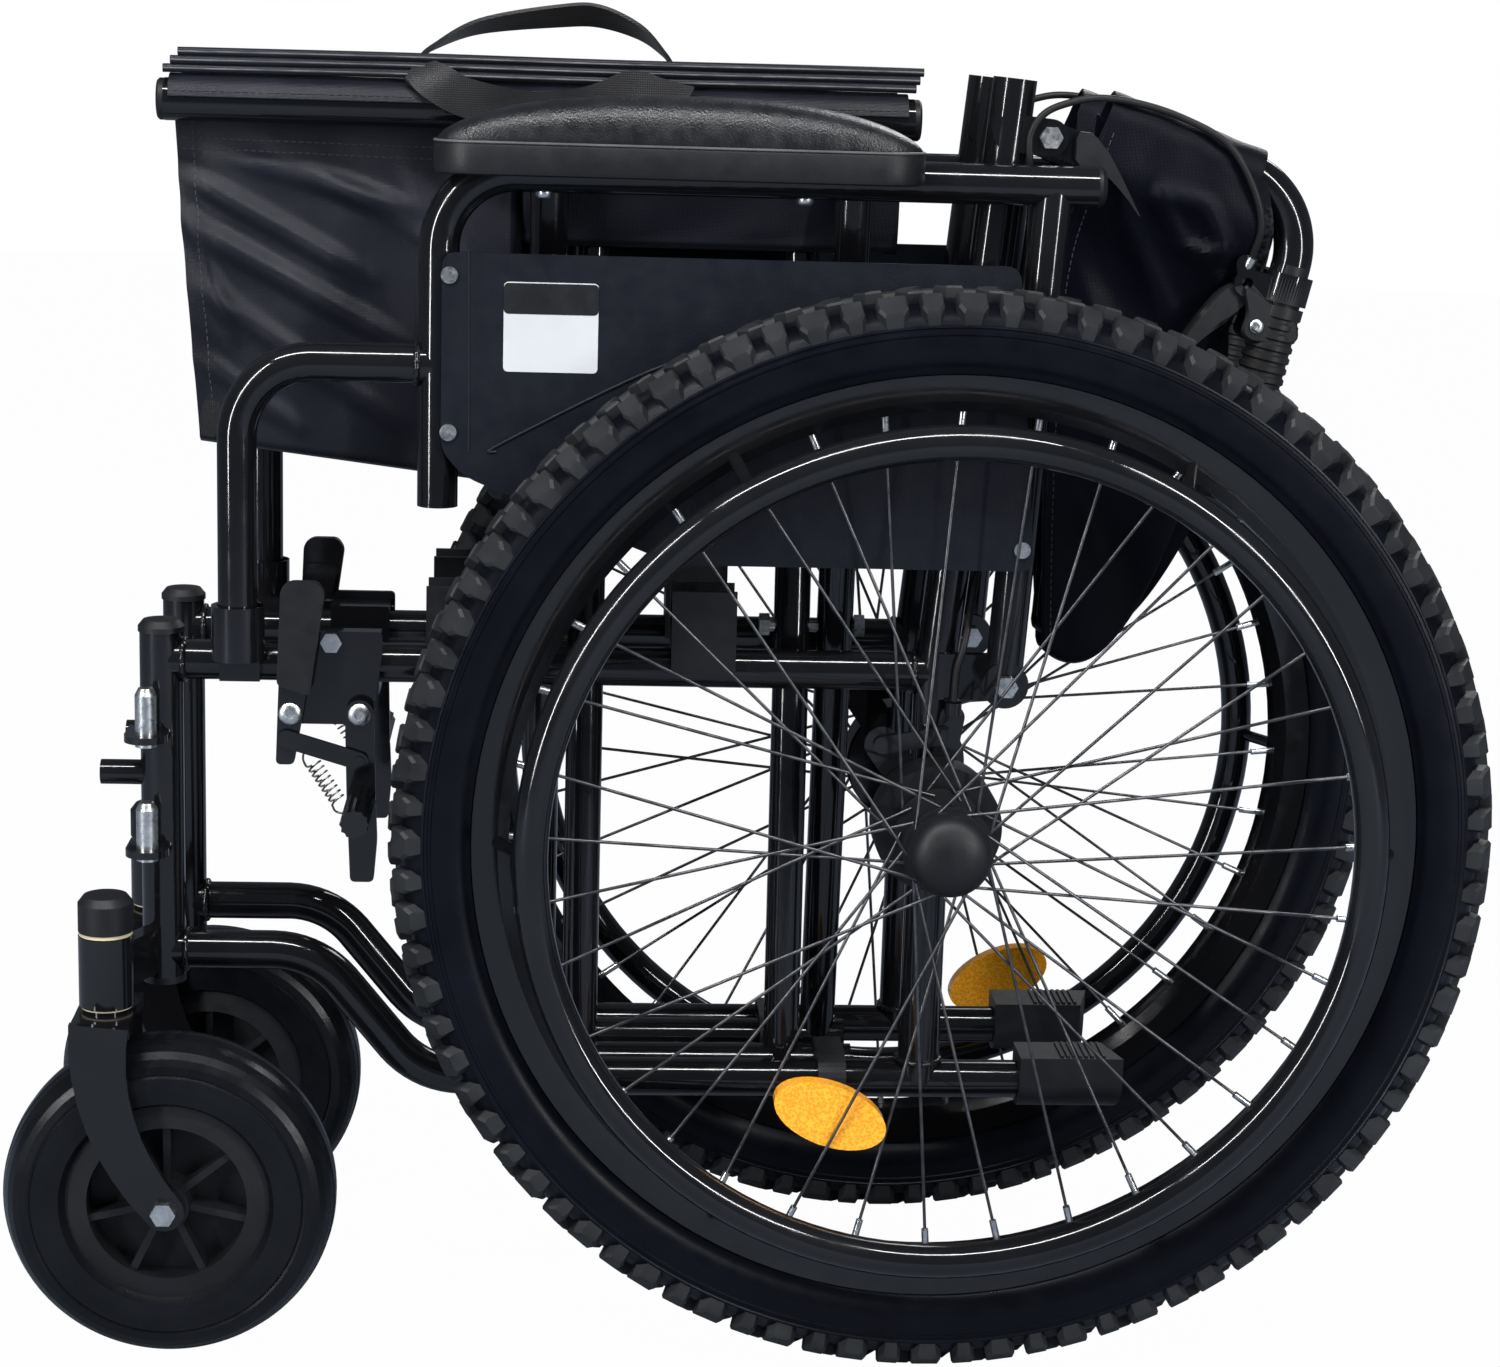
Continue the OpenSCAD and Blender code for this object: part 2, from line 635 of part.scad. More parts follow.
// Point of the seat cloth: v runs round the left rail (0), down to the fold (0.5) and up again (1).
seat_lap = 0.12;
seat_wrap_r = tube_r + 0.5 + 2 * gap + cloth_t / 2;
seat_fold_y = 4.6;
function seat_point(x, v, shift) =
    let (s = 1 - 2 * abs(v - 0.5), side = v < 0.5 ? 1 : -1, k = (s - seat_lap) / (1 - seat_lap))
    let (a = 90 * s / seat_lap, r = seat_wrap_r + shift, in_y = seat_rail_y - seat_wrap_r)
    let (wave = k > 0 ? 1.6 * sin(x * 2.3 + 300 * s) * k : 0, z = seat_rail_z - seat_depth(x) * k)
    let (edge = x - front_slant * deep_share(x) * max(0, k))
    s > 0.98 ? [edge, wave, z + shift]
        : k < 0 ? [x, side * (seat_rail_y - r * sin(a)), seat_rail_z + r * cos(a)]
        : [edge, side * (in_y + (seat_fold_y - in_y) * k - shift) + wave, z];

// Layered hem of the seat cloth along the top of each seat rail.
hem_layers = 3;
hem_t = 4.2;
hem_w = 18;
hem_z = seat_rail_z + seat_wrap_r + cloth_t / 2 + gap;
hem_top = hem_z + hem_layers * (hem_t + gap);
module seat_hem() {
    for (i = [0:hem_layers - 1])
        translate([seat_rail_rear - 2 * i, 0, hem_z + hem_t / 2 + i * (hem_t + gap)]) rotate([90, 0, 90])
            linear_extrude(seat_rail_front - seat_rail_rear - 2 * i)
                link_2d([-hem_w / 2, 0], [hem_w / 2, 0], hem_t);
}

// Webbing loop sewn to the hem over a seat rail, an arc of the given span and height.
loop_w = 24;
loop_t = 2;
module pull_loop(x, y, span, rise) {
    r = (span * span / 4 + rise * rise) / (2 * rise);
    half = asin(span / 2 / r);
    translate([x, y + loop_w / 2, hem_top - (r - loop_t) * cos(half)]) rotate([90, 0, 0])
        rotate_extrude(angle = 2 * half, start = 90 - half, $fn = 96)
            translate([r - loop_t, 0]) square([loop_t, loop_w]);
}

module seat_sling() {
    xs = concat([for (i = [12:-1:1]) deep_x + i * (seat_rail_front - 3 - deep_x) / 12],
        [for (i = [6:-1:0]) seat_rail_rear + 4 + i * (deep_x - seat_rail_rear - 5) / 6]);
    half = concat([for (i = [0:4]) seat_lap * i / 4], [for (i = [1:8]) seat_lap + (1 - seat_lap) * i / 8]);
    vs = concat([for (t = half) t / 2], [for (i = [len(half) - 2:-1:0]) 1 - half[i] / 2]);
    color(cloth_navy) {
        skin([for (x = xs) [for (v = vs) seat_point(x, v, cloth_t / 2)]],
            [for (x = xs) [for (v = vs) seat_point(x, v, -cloth_t / 2)]]);
        for (s = [-1, 1]) translate([0, s * seat_rail_y, 0]) seat_hem();
        pull_loop(222, seat_rail_y, 142, 8);
        pull_loop(222, -seat_rail_y, 136, 28);
    }
}

// Point of the back cloth: u runs along the folded cane, v from the left cane round the fold to the right cane.
cane_dir = [-sin(upright_lean + cane_fold), 0, cos(upright_lean + cane_fold)];
cane_side = [cos(upright_lean + cane_fold), 0, sin(upright_lean + cane_fold)];
cane_axis = cane_bolt + cane_offset * cane_side;
function back_depth(u) = 300 - 20 * u - 230 * pow(u, 1.6);
function back_point(u, v, shift) =
    let (s = 1 - 2 * abs(v - 0.5), side = v < 0.5 ? 1 : -1, top = cane_axis + (24 + 84 * u) * cane_dir)
    let (half = frame_y - tube_r - cloth_t / 2 - gap - (frame_y - tube_r - 14) * sin(90 * s))
    let (wave = 3 * sin(420 * u + 150 * s) * s * (1 - s))
    v > 0.49 && v < 0.51
        ? [top.x - 34 * u * s + 18 * s * (1 - u), 0, top.z - back_depth(u) - shift]
        : [top.x - 34 * u * s + 18 * s * (1 - u), side * (half + shift) + wave, top.z - back_depth(u) * s];

module back_sling() {
    us = [for (i = [0:12]) i / 12];
    vs = [for (j = [0:28]) j / 28];
    color(cloth_navy)
        skin([for (u = us) [for (v = vs) back_point(u, v, cloth_t / 2)]],
            [for (u = us) [for (v = vs) back_point(u, v, -cloth_t / 2)]]);
}

// Rear wheel

// Block of the tread, standing on the casing and turned to follow the shoulder.
module knob(a, y, tilt, size, r) {
    rotate([0, a, 0]) translate([0, y, r]) rotate([tilt, 0, 0])
        translate([-size[0] / 2, -size[1] / 2, -size[2]]) cube(size);
}

module tyre() {
    half = tyre_w / 2;
    side = [
        [bead_r + 0.2, rim_half - 4.2], [rim_r + 0.2, rim_half - 2.4], [rim_r + 0.4, rim_half + 1.5],
        [rim_r + 8, half - 1.5], [rim_r + 17, half], [casing_r - 13, half - 1.5], [casing_r - 5, half - 7],
        [casing_r - 1, half - 16]
    ];
    step = 360 / knob_count;
    color(rubber_black) translate(wheel_hub) {
        rotate([-90, 0, 0]) rotate_extrude($fn = 96) polygon(concat(
            [for (p = side) [p[0], p[1]]], [[casing_r, 0]],
            [for (i = [len(side) - 1:-1:0]) [side[i][0], -side[i][1]]]
        ));
        for (i = [0:knob_count - 1]) {
            knob(i * step, 0, 0, [13, 15, 9], wheel_r);
            for (s = [-1, 1]) knob((i + 0.5) * step, s * (half - 10), -s * 24, [17, 13, 12], wheel_r - 3.4);
        }
    }
}

module rim() {
    color(frame_black) turned(wheel_hub) polygon([
        [rim_inner_r, -rim_half + 8], [rim_inner_r + 6, -rim_half + 2.5], [rim_r, -rim_half],
        [rim_r, -rim_half + 2.2], [bead_r, -rim_half + 4], [bead_r, rim_half - 4],
        [rim_r, rim_half - 2.2], [rim_r, rim_half],
        [rim_inner_r + 6, rim_half - 2.5], [rim_inner_r, rim_half - 8]
    ]);
}

// Spokes laced three cross, alternate flanges, with a nipple at the rim.
module spokes() {
    step = 360 / spoke_count;
    color(zinc) translate(wheel_hub) for (i = [0:spoke_count - 1]) {
        side = i % 2 == 0 ? 1 : -1;
        lead = floor(i / 2) % 2 == 0 ? 1 : -1;
        a = i * step;
        b = a + lead * spoke_cross;
        hub_end = [spoke_hub_r * sin(b), side * (flange_y + lead * 1.6), spoke_hub_r * cos(b)];
        rim_end = [(rim_inner_r + 4) * sin(a), side * 1.5, (rim_inner_r + 4) * cos(a)];
        bar(hub_end, rim_end, spoke_d);
        bar(rim_end - 17 * unit(rim_end - hub_end), rim_end, 4);
    }
}

module hub() {
    barrel_r = 17;
    bore_r = axle_d / 2 + fit;
    in_flange = -flange_y - 1.5;
    color(plastic_black) turned(wheel_hub) polygon([
        [bore_r, hub_bore_y], [drum_r - 5, hub_bore_y], [drum_r - 5, -drum_in], [drum_r, -drum_in],
        [drum_r, hub_bore_y + 3], [barrel_r, hub_bore_y + 3], [barrel_r, in_flange], [flange_r, in_flange],
        [flange_r, in_flange + 3], [barrel_r, in_flange + 3], [barrel_r, flange_y - 1.5],
        [flange_r, flange_y - 1.5], [flange_r, flange_y + 1.5], [22, flange_y + 1.5],
        [22, nut_y + 7], [19, nut_y + 12], [11, nut_y + 15], [0, nut_y + 16],
        [0, nut_y + 9], [13, nut_y + 9], [13, nut_y - gap], [bore_r, nut_y - gap]
    ]);
}

// Handrim with its tabs, which are welded to the rim flank.
module handrim() {
    color(frame_black) translate(wheel_hub) {
        translate([0, handrim_out, 0]) rotate([-90, 0, 0])
            rotate_extrude($fn = 96) translate([handrim_r, 0]) circle(d = handrim_d);
        for (a = [30:60:330]) rotate([0, a, 0])
            bar([0, rim_half - 3.5, rim_inner_r + 6], [0, handrim_out - 4, handrim_r + 3], 7);
    }
}

// Oval reflector clipped between the spokes.
module reflector(angle) {
    color(amber) translate(wheel_hub) rotate([0, angle, 0]) translate([0, -reflector_t / 2, reflector_r])
        rotate([-90, 0, 0]) linear_extrude(reflector_t)
            polygon([for (a = [0:10:350]) [33 * cos(a), 17.5 * sin(a)]]);
}

// Hub brake

// Back plate with the brake band inside the drum, a lug for the arm and one for the cable stop.
module hub_brake() {
    color(frame_black) difference() {
        union() {
            plate_y(backplate_y) {
                translate([0, wheel_r]) circle(r = drum_r - 1, $fn = 96);
                link_2d([0, wheel_r], arm_pin, 20);
                link_2d([0, wheel_r], cable_stop, 14);
            }
            translate([0, backplate_y[1] - 0.5, wheel_r]) rotate([-90, 0, 0])
                rotate_extrude(angle = 320, start = 120, $fn = 96) translate([drum_r - 8, 0]) square([2.5, 20]);
            translate([cable_stop[0], cable_y, stop_z[0]]) cylinder(d = 9, h = stop_z[1] - stop_z[0]);
        }
        pin_y([0, wheel_r], [backplate_y[0] - 1, backplate_y[1] + 1], axle_d + 2 * fit);
        pin_y(arm_pin, [backplate_y[0] - 1, backplate_y[1] + 1], 6 + 2 * fit);
    }
}

module brake_arm() {
    color(zinc) {
        plate_y(brake_arm_y) link_2d(arm_pin, arm_end, 10);
        pin_y(arm_pin, [backplate_y[0], brake_arm_y[0] + 1], 6);
        translate([arm_end[0], cable_y, arm_end[1] - 4]) cylinder(d = 5, h = 8);
    }
}

// Parking brake

// Clamp round the top rail with the plate that carries both pivots.
module parking_brake() {
    color(frame_black) difference() {
        union() {
            plate_y(park_plate_y) {
                polygon(rounded([
                    [310, 405], [346, 405], [352, 374], [366, 366], [364, 356], [316, 356], [310, 392]
                ], 3));
                link_2d(park_lever_pin, park_shoe_pin, 15);
            }
            translate([312, frame_y - tube_r - 5, top_rail_z - tube_r - 5])
                cube([34, tube_d + 5 + gap + 1, tube_d + 10]);
        }
        translate([300, frame_y, top_rail_z]) rotate([0, 90, 0]) cylinder(d = tube_d, h = 80);
        for (p = [park_lever_pin, park_shoe_pin])
            pin_y(p, [park_plate_y[0] - 1, park_plate_y[1] + 1], park_pin_d + 2 * fit);
    }
    color(zinc) hex_y([338, top_rail_z + 14], [park_plate_y[1], park_plate_y[1] + park_bolt_h], 12);
}

module parking_lever() {
    tip = park_lever_pin + park_lever_l * [-sin(park_tilt), cos(park_tilt)];
    foot = park_lever_pin + [3, -25];
    color(plastic_black) {
        plate_y(park_arm_y) polygon(rounded([
            foot + [-5, -4], foot + [5, -4], park_lever_pin + [7, 0], tip + [11, -12], tip + [-9, -12],
            park_lever_pin + [-7, 0]
        ], 3));
        pin_y(park_lever_pin, [park_plate_y[0], park_arm_y[0] + 1], park_pin_d);
        plate_y([park_arm_y[1] - 1, park_arm_y[1] + 6]) polygon(rounded([
            park_lever_pin + [7, 17], tip + [11, -1], tip + [6, 3], tip + [-9, 3], tip + [-13, -3],
            park_lever_pin + [-11, 11]
        ], 3));
    }
}

// Shoe arm with its knurled bar, which reaches out in front of the tyre.
module parking_shoe() {
    flutes = 12;
    color(frame_black) {
        plate_y(park_arm_y) {
            link_2d(park_shoe_pin, shoe_bar, 16);
            polygon(rounded([
                shoe_bar + [-8, 0], shoe_bar + [8, 0], shoe_bar + [6, -48], shoe_bar + [-7, -48],
                shoe_bar + [-9, -24]
            ], 3));
        }
        plate_y(link_y) link_2d(link_ends[0], link_ends[1], 10);
        pin_y(link_ends[1], [park_arm_y[1] - 1, link_y[1] + 1], 6);
        pin_y(park_shoe_pin, [park_plate_y[0], park_arm_y[0] + 1], park_pin_d);
        translate([shoe_bar[0], park_arm_y[1] - 1, shoe_bar[1]]) rotate([-90, 0, 0])
            linear_extrude(shoe_end - park_arm_y[1]) polygon([
                for (i = [0:2 * flutes - 1])
                    (shoe_d / 2 - (i % 2)) * [cos(180 * i / flutes), sin(180 * i / flutes)]
            ]);
    }
}

// Return spring between the link and the shoe arm, one unbroken wire.
function spring_path() =
    let (p = [spring_top[0], 0, spring_top[1]], q = [spring_low[0], 0, spring_low[1]], axis = unit(q - p))
    let (a = cross(axis, [0, 1, 0]), steps = 8 * spring_curls)
    let (lift = [0, (park_arm_y[0] + park_arm_y[1]) / 2, 0])
    [for (i = [0:steps])
        p + lift + (q - p) * i / steps + spring_r * (cos(45 * i) * a + sin(45 * i) * [0, 1, 0])];
spring_self_gap = norm(spring_top - spring_low) / spring_curls - spring_wire;
echo(spring_self_gap = spring_self_gap);

module brake_spring() {
    p = [spring_top[0], 0, spring_top[1]];
    q = [spring_low[0], 0, spring_low[1]];
    color(zinc) swept(spring_path(), spring_wire, 6, unit(q - p));
}

// Caster

// Middle line of a fork leg, bowed forward between the crown and the axle.
function fork_mid(k) =
    let (a = [stem_x, crown_z + crown_t], b = [stem_x + 6, crown_z - 50], c = [caster_x, caster_r])
    pow(1 - k, 2) * a + 2 * k * (1 - k) * b + k * k * c;
function fork_edge(k, s) =
    let (t = unit(fork_mid(min(1, k + 0.05)) - fork_mid(max(0, k - 0.05))))
    fork_mid(k) + s * (16 - 5 * k) * [-t[1], t[0]];

module caster_fork() {
    color(frame_black) difference() {
        union() {
            for (s = [-1, 1]) translate([0, s * (fork_in + fork_t / 2), 0])
                plate_y([stem_y - fork_t / 2, stem_y + fork_t / 2]) {
                    polygon(concat(
                        [for (i = [0:8]) fork_edge(i / 8, 1)], [for (i = [8:-1:0]) fork_edge(i / 8, -1)]
                    ));
                    translate([caster_x, caster_r]) circle(r = 11);
                }
            translate([stem_x - 16, stem_y - fork_in - 1, crown_z]) cube([32, 2 * fork_in + 2, crown_t]);
            translate([stem_x, stem_y, crown_z]) cylinder(d = 26, h = crown_t + 2);
        }
        translate([stem_x, stem_y, crown_z - 1]) cylinder(d = stem_d + 2 * fit, h = 40);
        pin_y([caster_x, caster_r], [stem_y - 60, stem_y + 60], caster_bolt_d + 2 * fit);
    }
}

// Stem bolt, stem cap and washers, and the caster axle bolt with its nut.
module caster_hardware() {
    top = housing_z + housing_h;
    out = fork_in + fork_t;
    color(zinc) {
        translate([stem_x, stem_y, crown_z - 5]) cylinder(d = stem_d, h = top + 6 - crown_z + 5);
        translate([stem_x, stem_y, crown_z - 5]) cylinder(d = 19, h = 5, $fn = 6);
        pin_y([caster_x, caster_r], [stem_y - out - 1, stem_y + out + 1], caster_bolt_d);
        for (y = [stem_y - out - 5, stem_y + out]) hex_y([caster_x, caster_r], [y, y + 5], 14);
    }
    color([0.8, 0.76, 0.62]) difference() {
        union() {
            translate([stem_x, stem_y, top + gap]) cylinder(d = housing_d - 1, h = 2);
            translate([stem_x, stem_y, crown_z + crown_t + 2]) cylinder(d = 24, h = 1 - gap);
        }
        translate([stem_x, stem_y, crown_z]) cylinder(d = stem_d, h = 2 * housing_h);
    }
    color(plastic_black) translate([stem_x, stem_y, top + gap + 2]) rotate_extrude() polygon([
        [0, 4], [stem_d / 2, 4], [stem_d / 2, 0], [housing_d / 2, 0], [housing_d / 2, cap_h - 5],
        [housing_d / 2 - 3, cap_h - 1], [0, cap_h]
    ]);
}

module caster_tyre() {
    w = caster_w / 2;
    color(rubber_black) turned(caster_hub) polygon(concat(
        [[caster_rim_r, -w + 6], [caster_rim_r, w - 6], [caster_rim_r + 3, w - 1]],
        [[caster_rim_r + 10, w], [caster_r - 18, w], [caster_r - 17, w - 1.2], [caster_r - 15.5, w - 0.6]],
        [for (a = [10:16:170]) [caster_r - 14 + 14 * sin(a), (w - 1) * cos(a)]],
        [[caster_r - 15.5, -w + 0.6], [caster_r - 17, -w + 1.2], [caster_r - 18, -w], [caster_rim_r + 10, -w]],
        [[caster_rim_r + 3, -w + 1]]
    ));
}

// Moulded rim: outer band, thin web, hub boss and radial ribs.
module caster_rim() {
    w = caster_w / 2;
    color(plastic_black) {
        turned(caster_hub) polygon([
            [caster_bolt_d / 2 + fit, -w - 2], [13, -w - 2], [13, -4], [caster_web_r, -4],
            [caster_web_r, -w + 4], [caster_rim_r, -w + 6], [caster_rim_r, w - 6],
            [caster_web_r, w - 4], [caster_web_r, 4], [13, 4], [13, w + 2], [caster_bolt_d / 2 + fit, w + 2]
        ]);
        for (i = [0:rib_count - 1]) for (s = [0, 1]) translate(caster_hub) rotate([0, i * 360 / rib_count, 0])
            translate([-2, s == 0 ? 3.5 : -w + 7, 11]) cube([4, w - 10.5, caster_web_r - 10]);
    }
}

// Armrest

module armrest() {
    rear = [arm_pivot.x, arm_pivot.z];
    color(frame_black) difference() {
        union() {
            bent_tube([
                [arm_front_x, arm_y, arm_post_end], [arm_front_x, arm_y, arm_link_z],
                [arm_mid_x, arm_y, arm_link_z]
            ], tube_d - 0.5, arm_bend_r);
            bent_tube([[arm_mid_x, arm_y, arm_mid_z], [arm_mid_x, arm_y, arm_z], [-arm_rear, arm_y, arm_z]],
                tube_d, arm_bend_r);
            bar(arm_post_top, arm_pivot, tube_d - 1);
            pin_y(rear, [arm_y - tube_r, arm_y + tube_r - 1], 2 * arm_knuckle_r);
        }
        pin_y(rear, [arm_y - 2 * tube_r, arm_y + 2 * tube_r], arm_bolt_d + 2 * fit);
        translate([arm_mid_x, arm_y, arm_mid_z - 1]) cylinder(d = tube_d - 2 * tube_wall, h = 40);
        for (p = skirt_screws) pin_y(p, [arm_y + 2, arm_y + 2 * tube_r], screw_d + 2 * fit);
    }
}

// Outline of the arm pad in plan, drawn in by d.
function pad_edge(d) =
    let (r = pad_w / 2 - d, run = pad_l / 2 - pad_w / 2)
    [
        for (a = [-90:15:90]) [run + r * cos(a), r * sin(a)],
        for (a = [90:15:270]) [-run + r * cos(a), r * sin(a)]
    ];

module arm_pad() {
    levels = 5;
    rings = [for (k = [0:levels]) let (a = 90 * k / (levels + 0.6))
        [for (p = pad_edge(2 + (pad_w / 2 - 5) * (1 - cos(a)))) [p[0], p[1], pad_crown_h * sin(a)]]];
    n = len(rings[0]);
    color(plastic_black) translate([pad_rear_x + pad_l / 2, pad_y, pad_z]) {
        difference() {
            linear_extrude(pad_base_h) polygon(pad_edge(0));
            translate([-pad_l, arm_y - pad_y, arm_z - pad_z])
                rotate([0, 90, 0]) cylinder(d = tube_d, h = 2 * pad_l);
            translate([-pad_l, arm_y - pad_y - tube_r, -1]) cube([2 * pad_l, tube_d, arm_z - pad_z + 1]);
        }
        translate([0, 0, pad_base_h]) polyhedron(
            points = [for (ring = rings) for (p = ring) p],
            faces = concat(
                [[for (j = [0:n - 1]) j]],
                [for (k = [0:levels - 1]) for (j = [0:n - 1])
                    [k * n + j, (k + 1) * n + j, k * n + (j + 1) % n]],
                [for (k = [0:levels - 1]) for (j = [0:n - 1])
                    [(k + 1) * n + j, (k + 1) * n + (j + 1) % n, k * n + (j + 1) % n]],
                [[for (j = [n - 1:-1:0]) levels * n + j]]
            )
        );
    }
}

module skirt_guard() {
    color(plastic_black) difference() {
        plate_y([skirt_y, skirt_y + skirt_t]) polygon(rounded(skirt_outline, 8));
        for (p = skirt_screws) pin_y(p, [skirt_y - 1, skirt_y + skirt_t + 1], screw_d + 2 * fit);
    }
}

// Screws of the skirt guard and the cap in the rear end of the arm tube.
module armrest_fittings() {
    color(zinc) for (p = skirt_screws) {
        pin_y(p, [arm_y + 3, skirt_y + skirt_t + 0.5], screw_d);
        pin_y(p, [skirt_y + skirt_t, skirt_y + skirt_t + 1.4], 9);
    }
    color(plastic_black) translate([-arm_rear, arm_y, arm_z]) rotate([0, -90, 0])
        rotate_extrude() polygon([[0, 0], [tube_r, 0], [tube_r, 2], [tube_r - 2, 4.5], [0, 5.5]]);
}

// Back cane, drawn upright and then folded about its hinge bolt

module folded_cane() {
    translate(cane_bolt) rotate([0, -upright_lean - cane_fold, 0]) children();
}

// Along the handle, starting at the corner of its bend.
module at_handle() {
    translate([cane_offset, 0, cane_start + cane_l]) rotate([0, -handle_turn, 0]) children();
}

module upper_cane() {
    corner = [cane_offset, 0, cane_start + cane_l];
    tip = corner + (grip_s + grip_l) * [-sin(handle_turn), 0, cos(handle_turn)];
    link_half = ear_gap / 2 - 0.4;
    color(frame_black) folded_cane() difference() {
        union() {
            bent_tube([[cane_offset, 0, cane_start], corner, tip], tube_d, handle_bend_r);
            pin_y([0, 0], [-link_half, link_half], 2 * knuckle_r);
            translate([-knuckle_r, -link_half, 0]) cube([2 * knuckle_r, 2 * link_half, cane_start + 30]);
            translate([0, -link_half, cane_start + 2]) cube([cane_offset, 2 * link_half, 26]);
        }
        pin_y([0, 0], [-20, 20], cane_bolt_d + 2 * fit);
    }
    color(plastic_black) folded_cane() at_handle() lever_clamp();
}

// Ribbed rubber sleeve on the handle.
module hand_grip() {
    rib = 6;
    count = floor((grip_l - 16) / rib);
    color(rubber_black) folded_cane() at_handle() translate([0, 0, grip_s]) difference() {
        rotate_extrude() polygon(concat(
            [[0, 0], [grip_d / 2, 0], [grip_d / 2, 6]],
            [for (i = [0:count - 1]) for (p = [[-1.2, 1], [-1.2, 2.5], [0, 3.5], [0, 6]])
                [grip_d / 2 + p[0], 6 + i * rib + p[1]]],
            [[grip_d / 2, grip_l - 1], [grip_d / 2 - 3, grip_l + 4], [0, grip_l + 4]]
        ));
        translate([0, 0, -1]) cylinder(d = tube_d + 2 * fit, h = grip_l + 1);
    }
}

// Brake lever housing clamps on the handle; the blade swings on a pivot pin in it.
lever_pivot = [-23, lever_ring_s + 10];

module brake_lever() {
    tip = lever_pivot + [-34, blade_l];
    color(plastic_black) folded_cane() at_handle() {
        plate_y([-4, 4]) {
            link_2d(lever_pivot, lever_pivot + [-12, 16], 12);
            link_2d(lever_pivot + [-12, 16], tip, 9);
        }
        pin_y(lever_pivot, [-9, 9], 6);
    }
}

// Clamp ring of the brake lever with its two cheeks.
module lever_clamp() {
    difference() {
        union() {
            translate([0, 0, lever_ring_s]) cylinder(d = tube_d + 6, h = lever_ring_l);
            for (y = [-9, 4.4]) plate_y([y, y + 4.6]) {
                link_2d([-6, lever_pivot[1]], lever_pivot, 15);
                link_2d(lever_pivot, lever_pivot + [-4, -10], 10);
            }
        }
        translate([0, 0, lever_ring_s - 1]) cylinder(d = tube_d + 2 * fit, h = lever_ring_l + 2);
        pin_y(lever_pivot, [-20, 20], 6 + 2 * fit);
    }
}

module brake_cable() color(rubber_black) swept(cable_route, cable_d, 8, [0, 1, 0]);

left() side_frame();  // frame_left
right() side_frame();  // frame_right
left() tube_caps();  // tube_caps_left
right() tube_caps();  // tube_caps_right
left() rail_blocks(clamp_left_x);  // rail_blocks_left
right() rail_blocks(clamp_right_x);  // rail_blocks_right
left() frame_hardware();  // frame_hardware_left
right() frame_hardware();  // frame_hardware_right
left() brace_a();
left() brace_b();
left() seat_sling();
left() back_sling();
left() tyre();  // tyre_left
right() tyre();  // tyre_right
left() rim();  // rim_left
right() rim();  // rim_right
left() spokes();  // spokes_left
right() spokes();  // spokes_right
left() hub();  // hub_left
right() hub();  // hub_right
left() handrim();  // handrim_left
right() handrim();  // handrim_right
left() reflector(160);  // reflector_left
right() reflector(205);  // reflector_right
left() hub_brake();  // hub_brake_left
right() hub_brake();  // hub_brake_right
left() brake_arm();  // brake_arm_left
right() brake_arm();  // brake_arm_right
left() parking_brake();  // parking_brake_left
right() parking_brake();  // parking_brake_right
left() parking_lever();  // parking_lever_left
right() parking_lever();  // parking_lever_right
left() parking_shoe();  // parking_shoe_left
right() parking_shoe();  // parking_shoe_right
left() brake_spring();  // brake_spring_left
right() brake_spring();  // brake_spring_right
left() caster_fork();  // caster_fork_left
right() caster_fork();  // caster_fork_right
left() caster_hardware();  // caster_hardware_left
right() caster_hardware();  // caster_hardware_right
left() caster_tyre();  // caster_tyre_left
right() caster_tyre();  // caster_tyre_right
left() caster_rim();  // caster_rim_left
right() caster_rim();  // caster_rim_right
left() armrest();  // armrest_left
right() armrest();  // armrest_right
left() arm_pad();  // arm_pad_left
right() arm_pad();  // arm_pad_right
left() skirt_guard();  // skirt_guard_left
right() skirt_guard();  // skirt_guard_right
left() armrest_fittings();  // armrest_fittings_left
right() armrest_fittings();  // armrest_fittings_right
left() upper_cane();  // upper_cane_left
right() upper_cane();  // upper_cane_right
left() hand_grip();  // hand_grip_left
right() hand_grip();  // hand_grip_right
left() brake_lever();  // brake_lever_left
right() brake_lever();  // brake_lever_right
left() brake_cable();  // brake_cable_left
right() brake_cable();  // brake_cable_right
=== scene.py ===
"""Looks of a folded all terrain wheelchair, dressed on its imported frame.

Lengths in the tables are millimetres, measured as in the part: x forward of the rear axle,
y outward from the middle, z up from the floor. at() turns them into metres of the row frame.
"""

import math

import bmesh
import bpy
import numpy as np
from mathutils import Matrix, Vector


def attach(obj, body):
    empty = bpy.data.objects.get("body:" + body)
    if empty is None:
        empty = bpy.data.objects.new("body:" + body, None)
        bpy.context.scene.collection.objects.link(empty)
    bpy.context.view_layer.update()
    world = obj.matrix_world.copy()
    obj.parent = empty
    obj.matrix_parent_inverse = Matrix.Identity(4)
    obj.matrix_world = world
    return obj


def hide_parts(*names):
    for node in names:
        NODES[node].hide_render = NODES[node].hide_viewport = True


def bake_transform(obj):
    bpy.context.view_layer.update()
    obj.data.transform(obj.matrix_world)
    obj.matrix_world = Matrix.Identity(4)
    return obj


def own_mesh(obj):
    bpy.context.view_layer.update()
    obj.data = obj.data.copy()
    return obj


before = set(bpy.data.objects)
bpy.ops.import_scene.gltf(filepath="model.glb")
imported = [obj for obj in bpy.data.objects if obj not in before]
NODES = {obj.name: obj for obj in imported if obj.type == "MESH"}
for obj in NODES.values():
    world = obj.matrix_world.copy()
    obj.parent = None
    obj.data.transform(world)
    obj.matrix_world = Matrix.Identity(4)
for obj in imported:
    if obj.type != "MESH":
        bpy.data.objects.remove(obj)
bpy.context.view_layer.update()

MM = 0.001
AXLE_X = -106.0
SIDES = (("left", 1), ("right", -1))


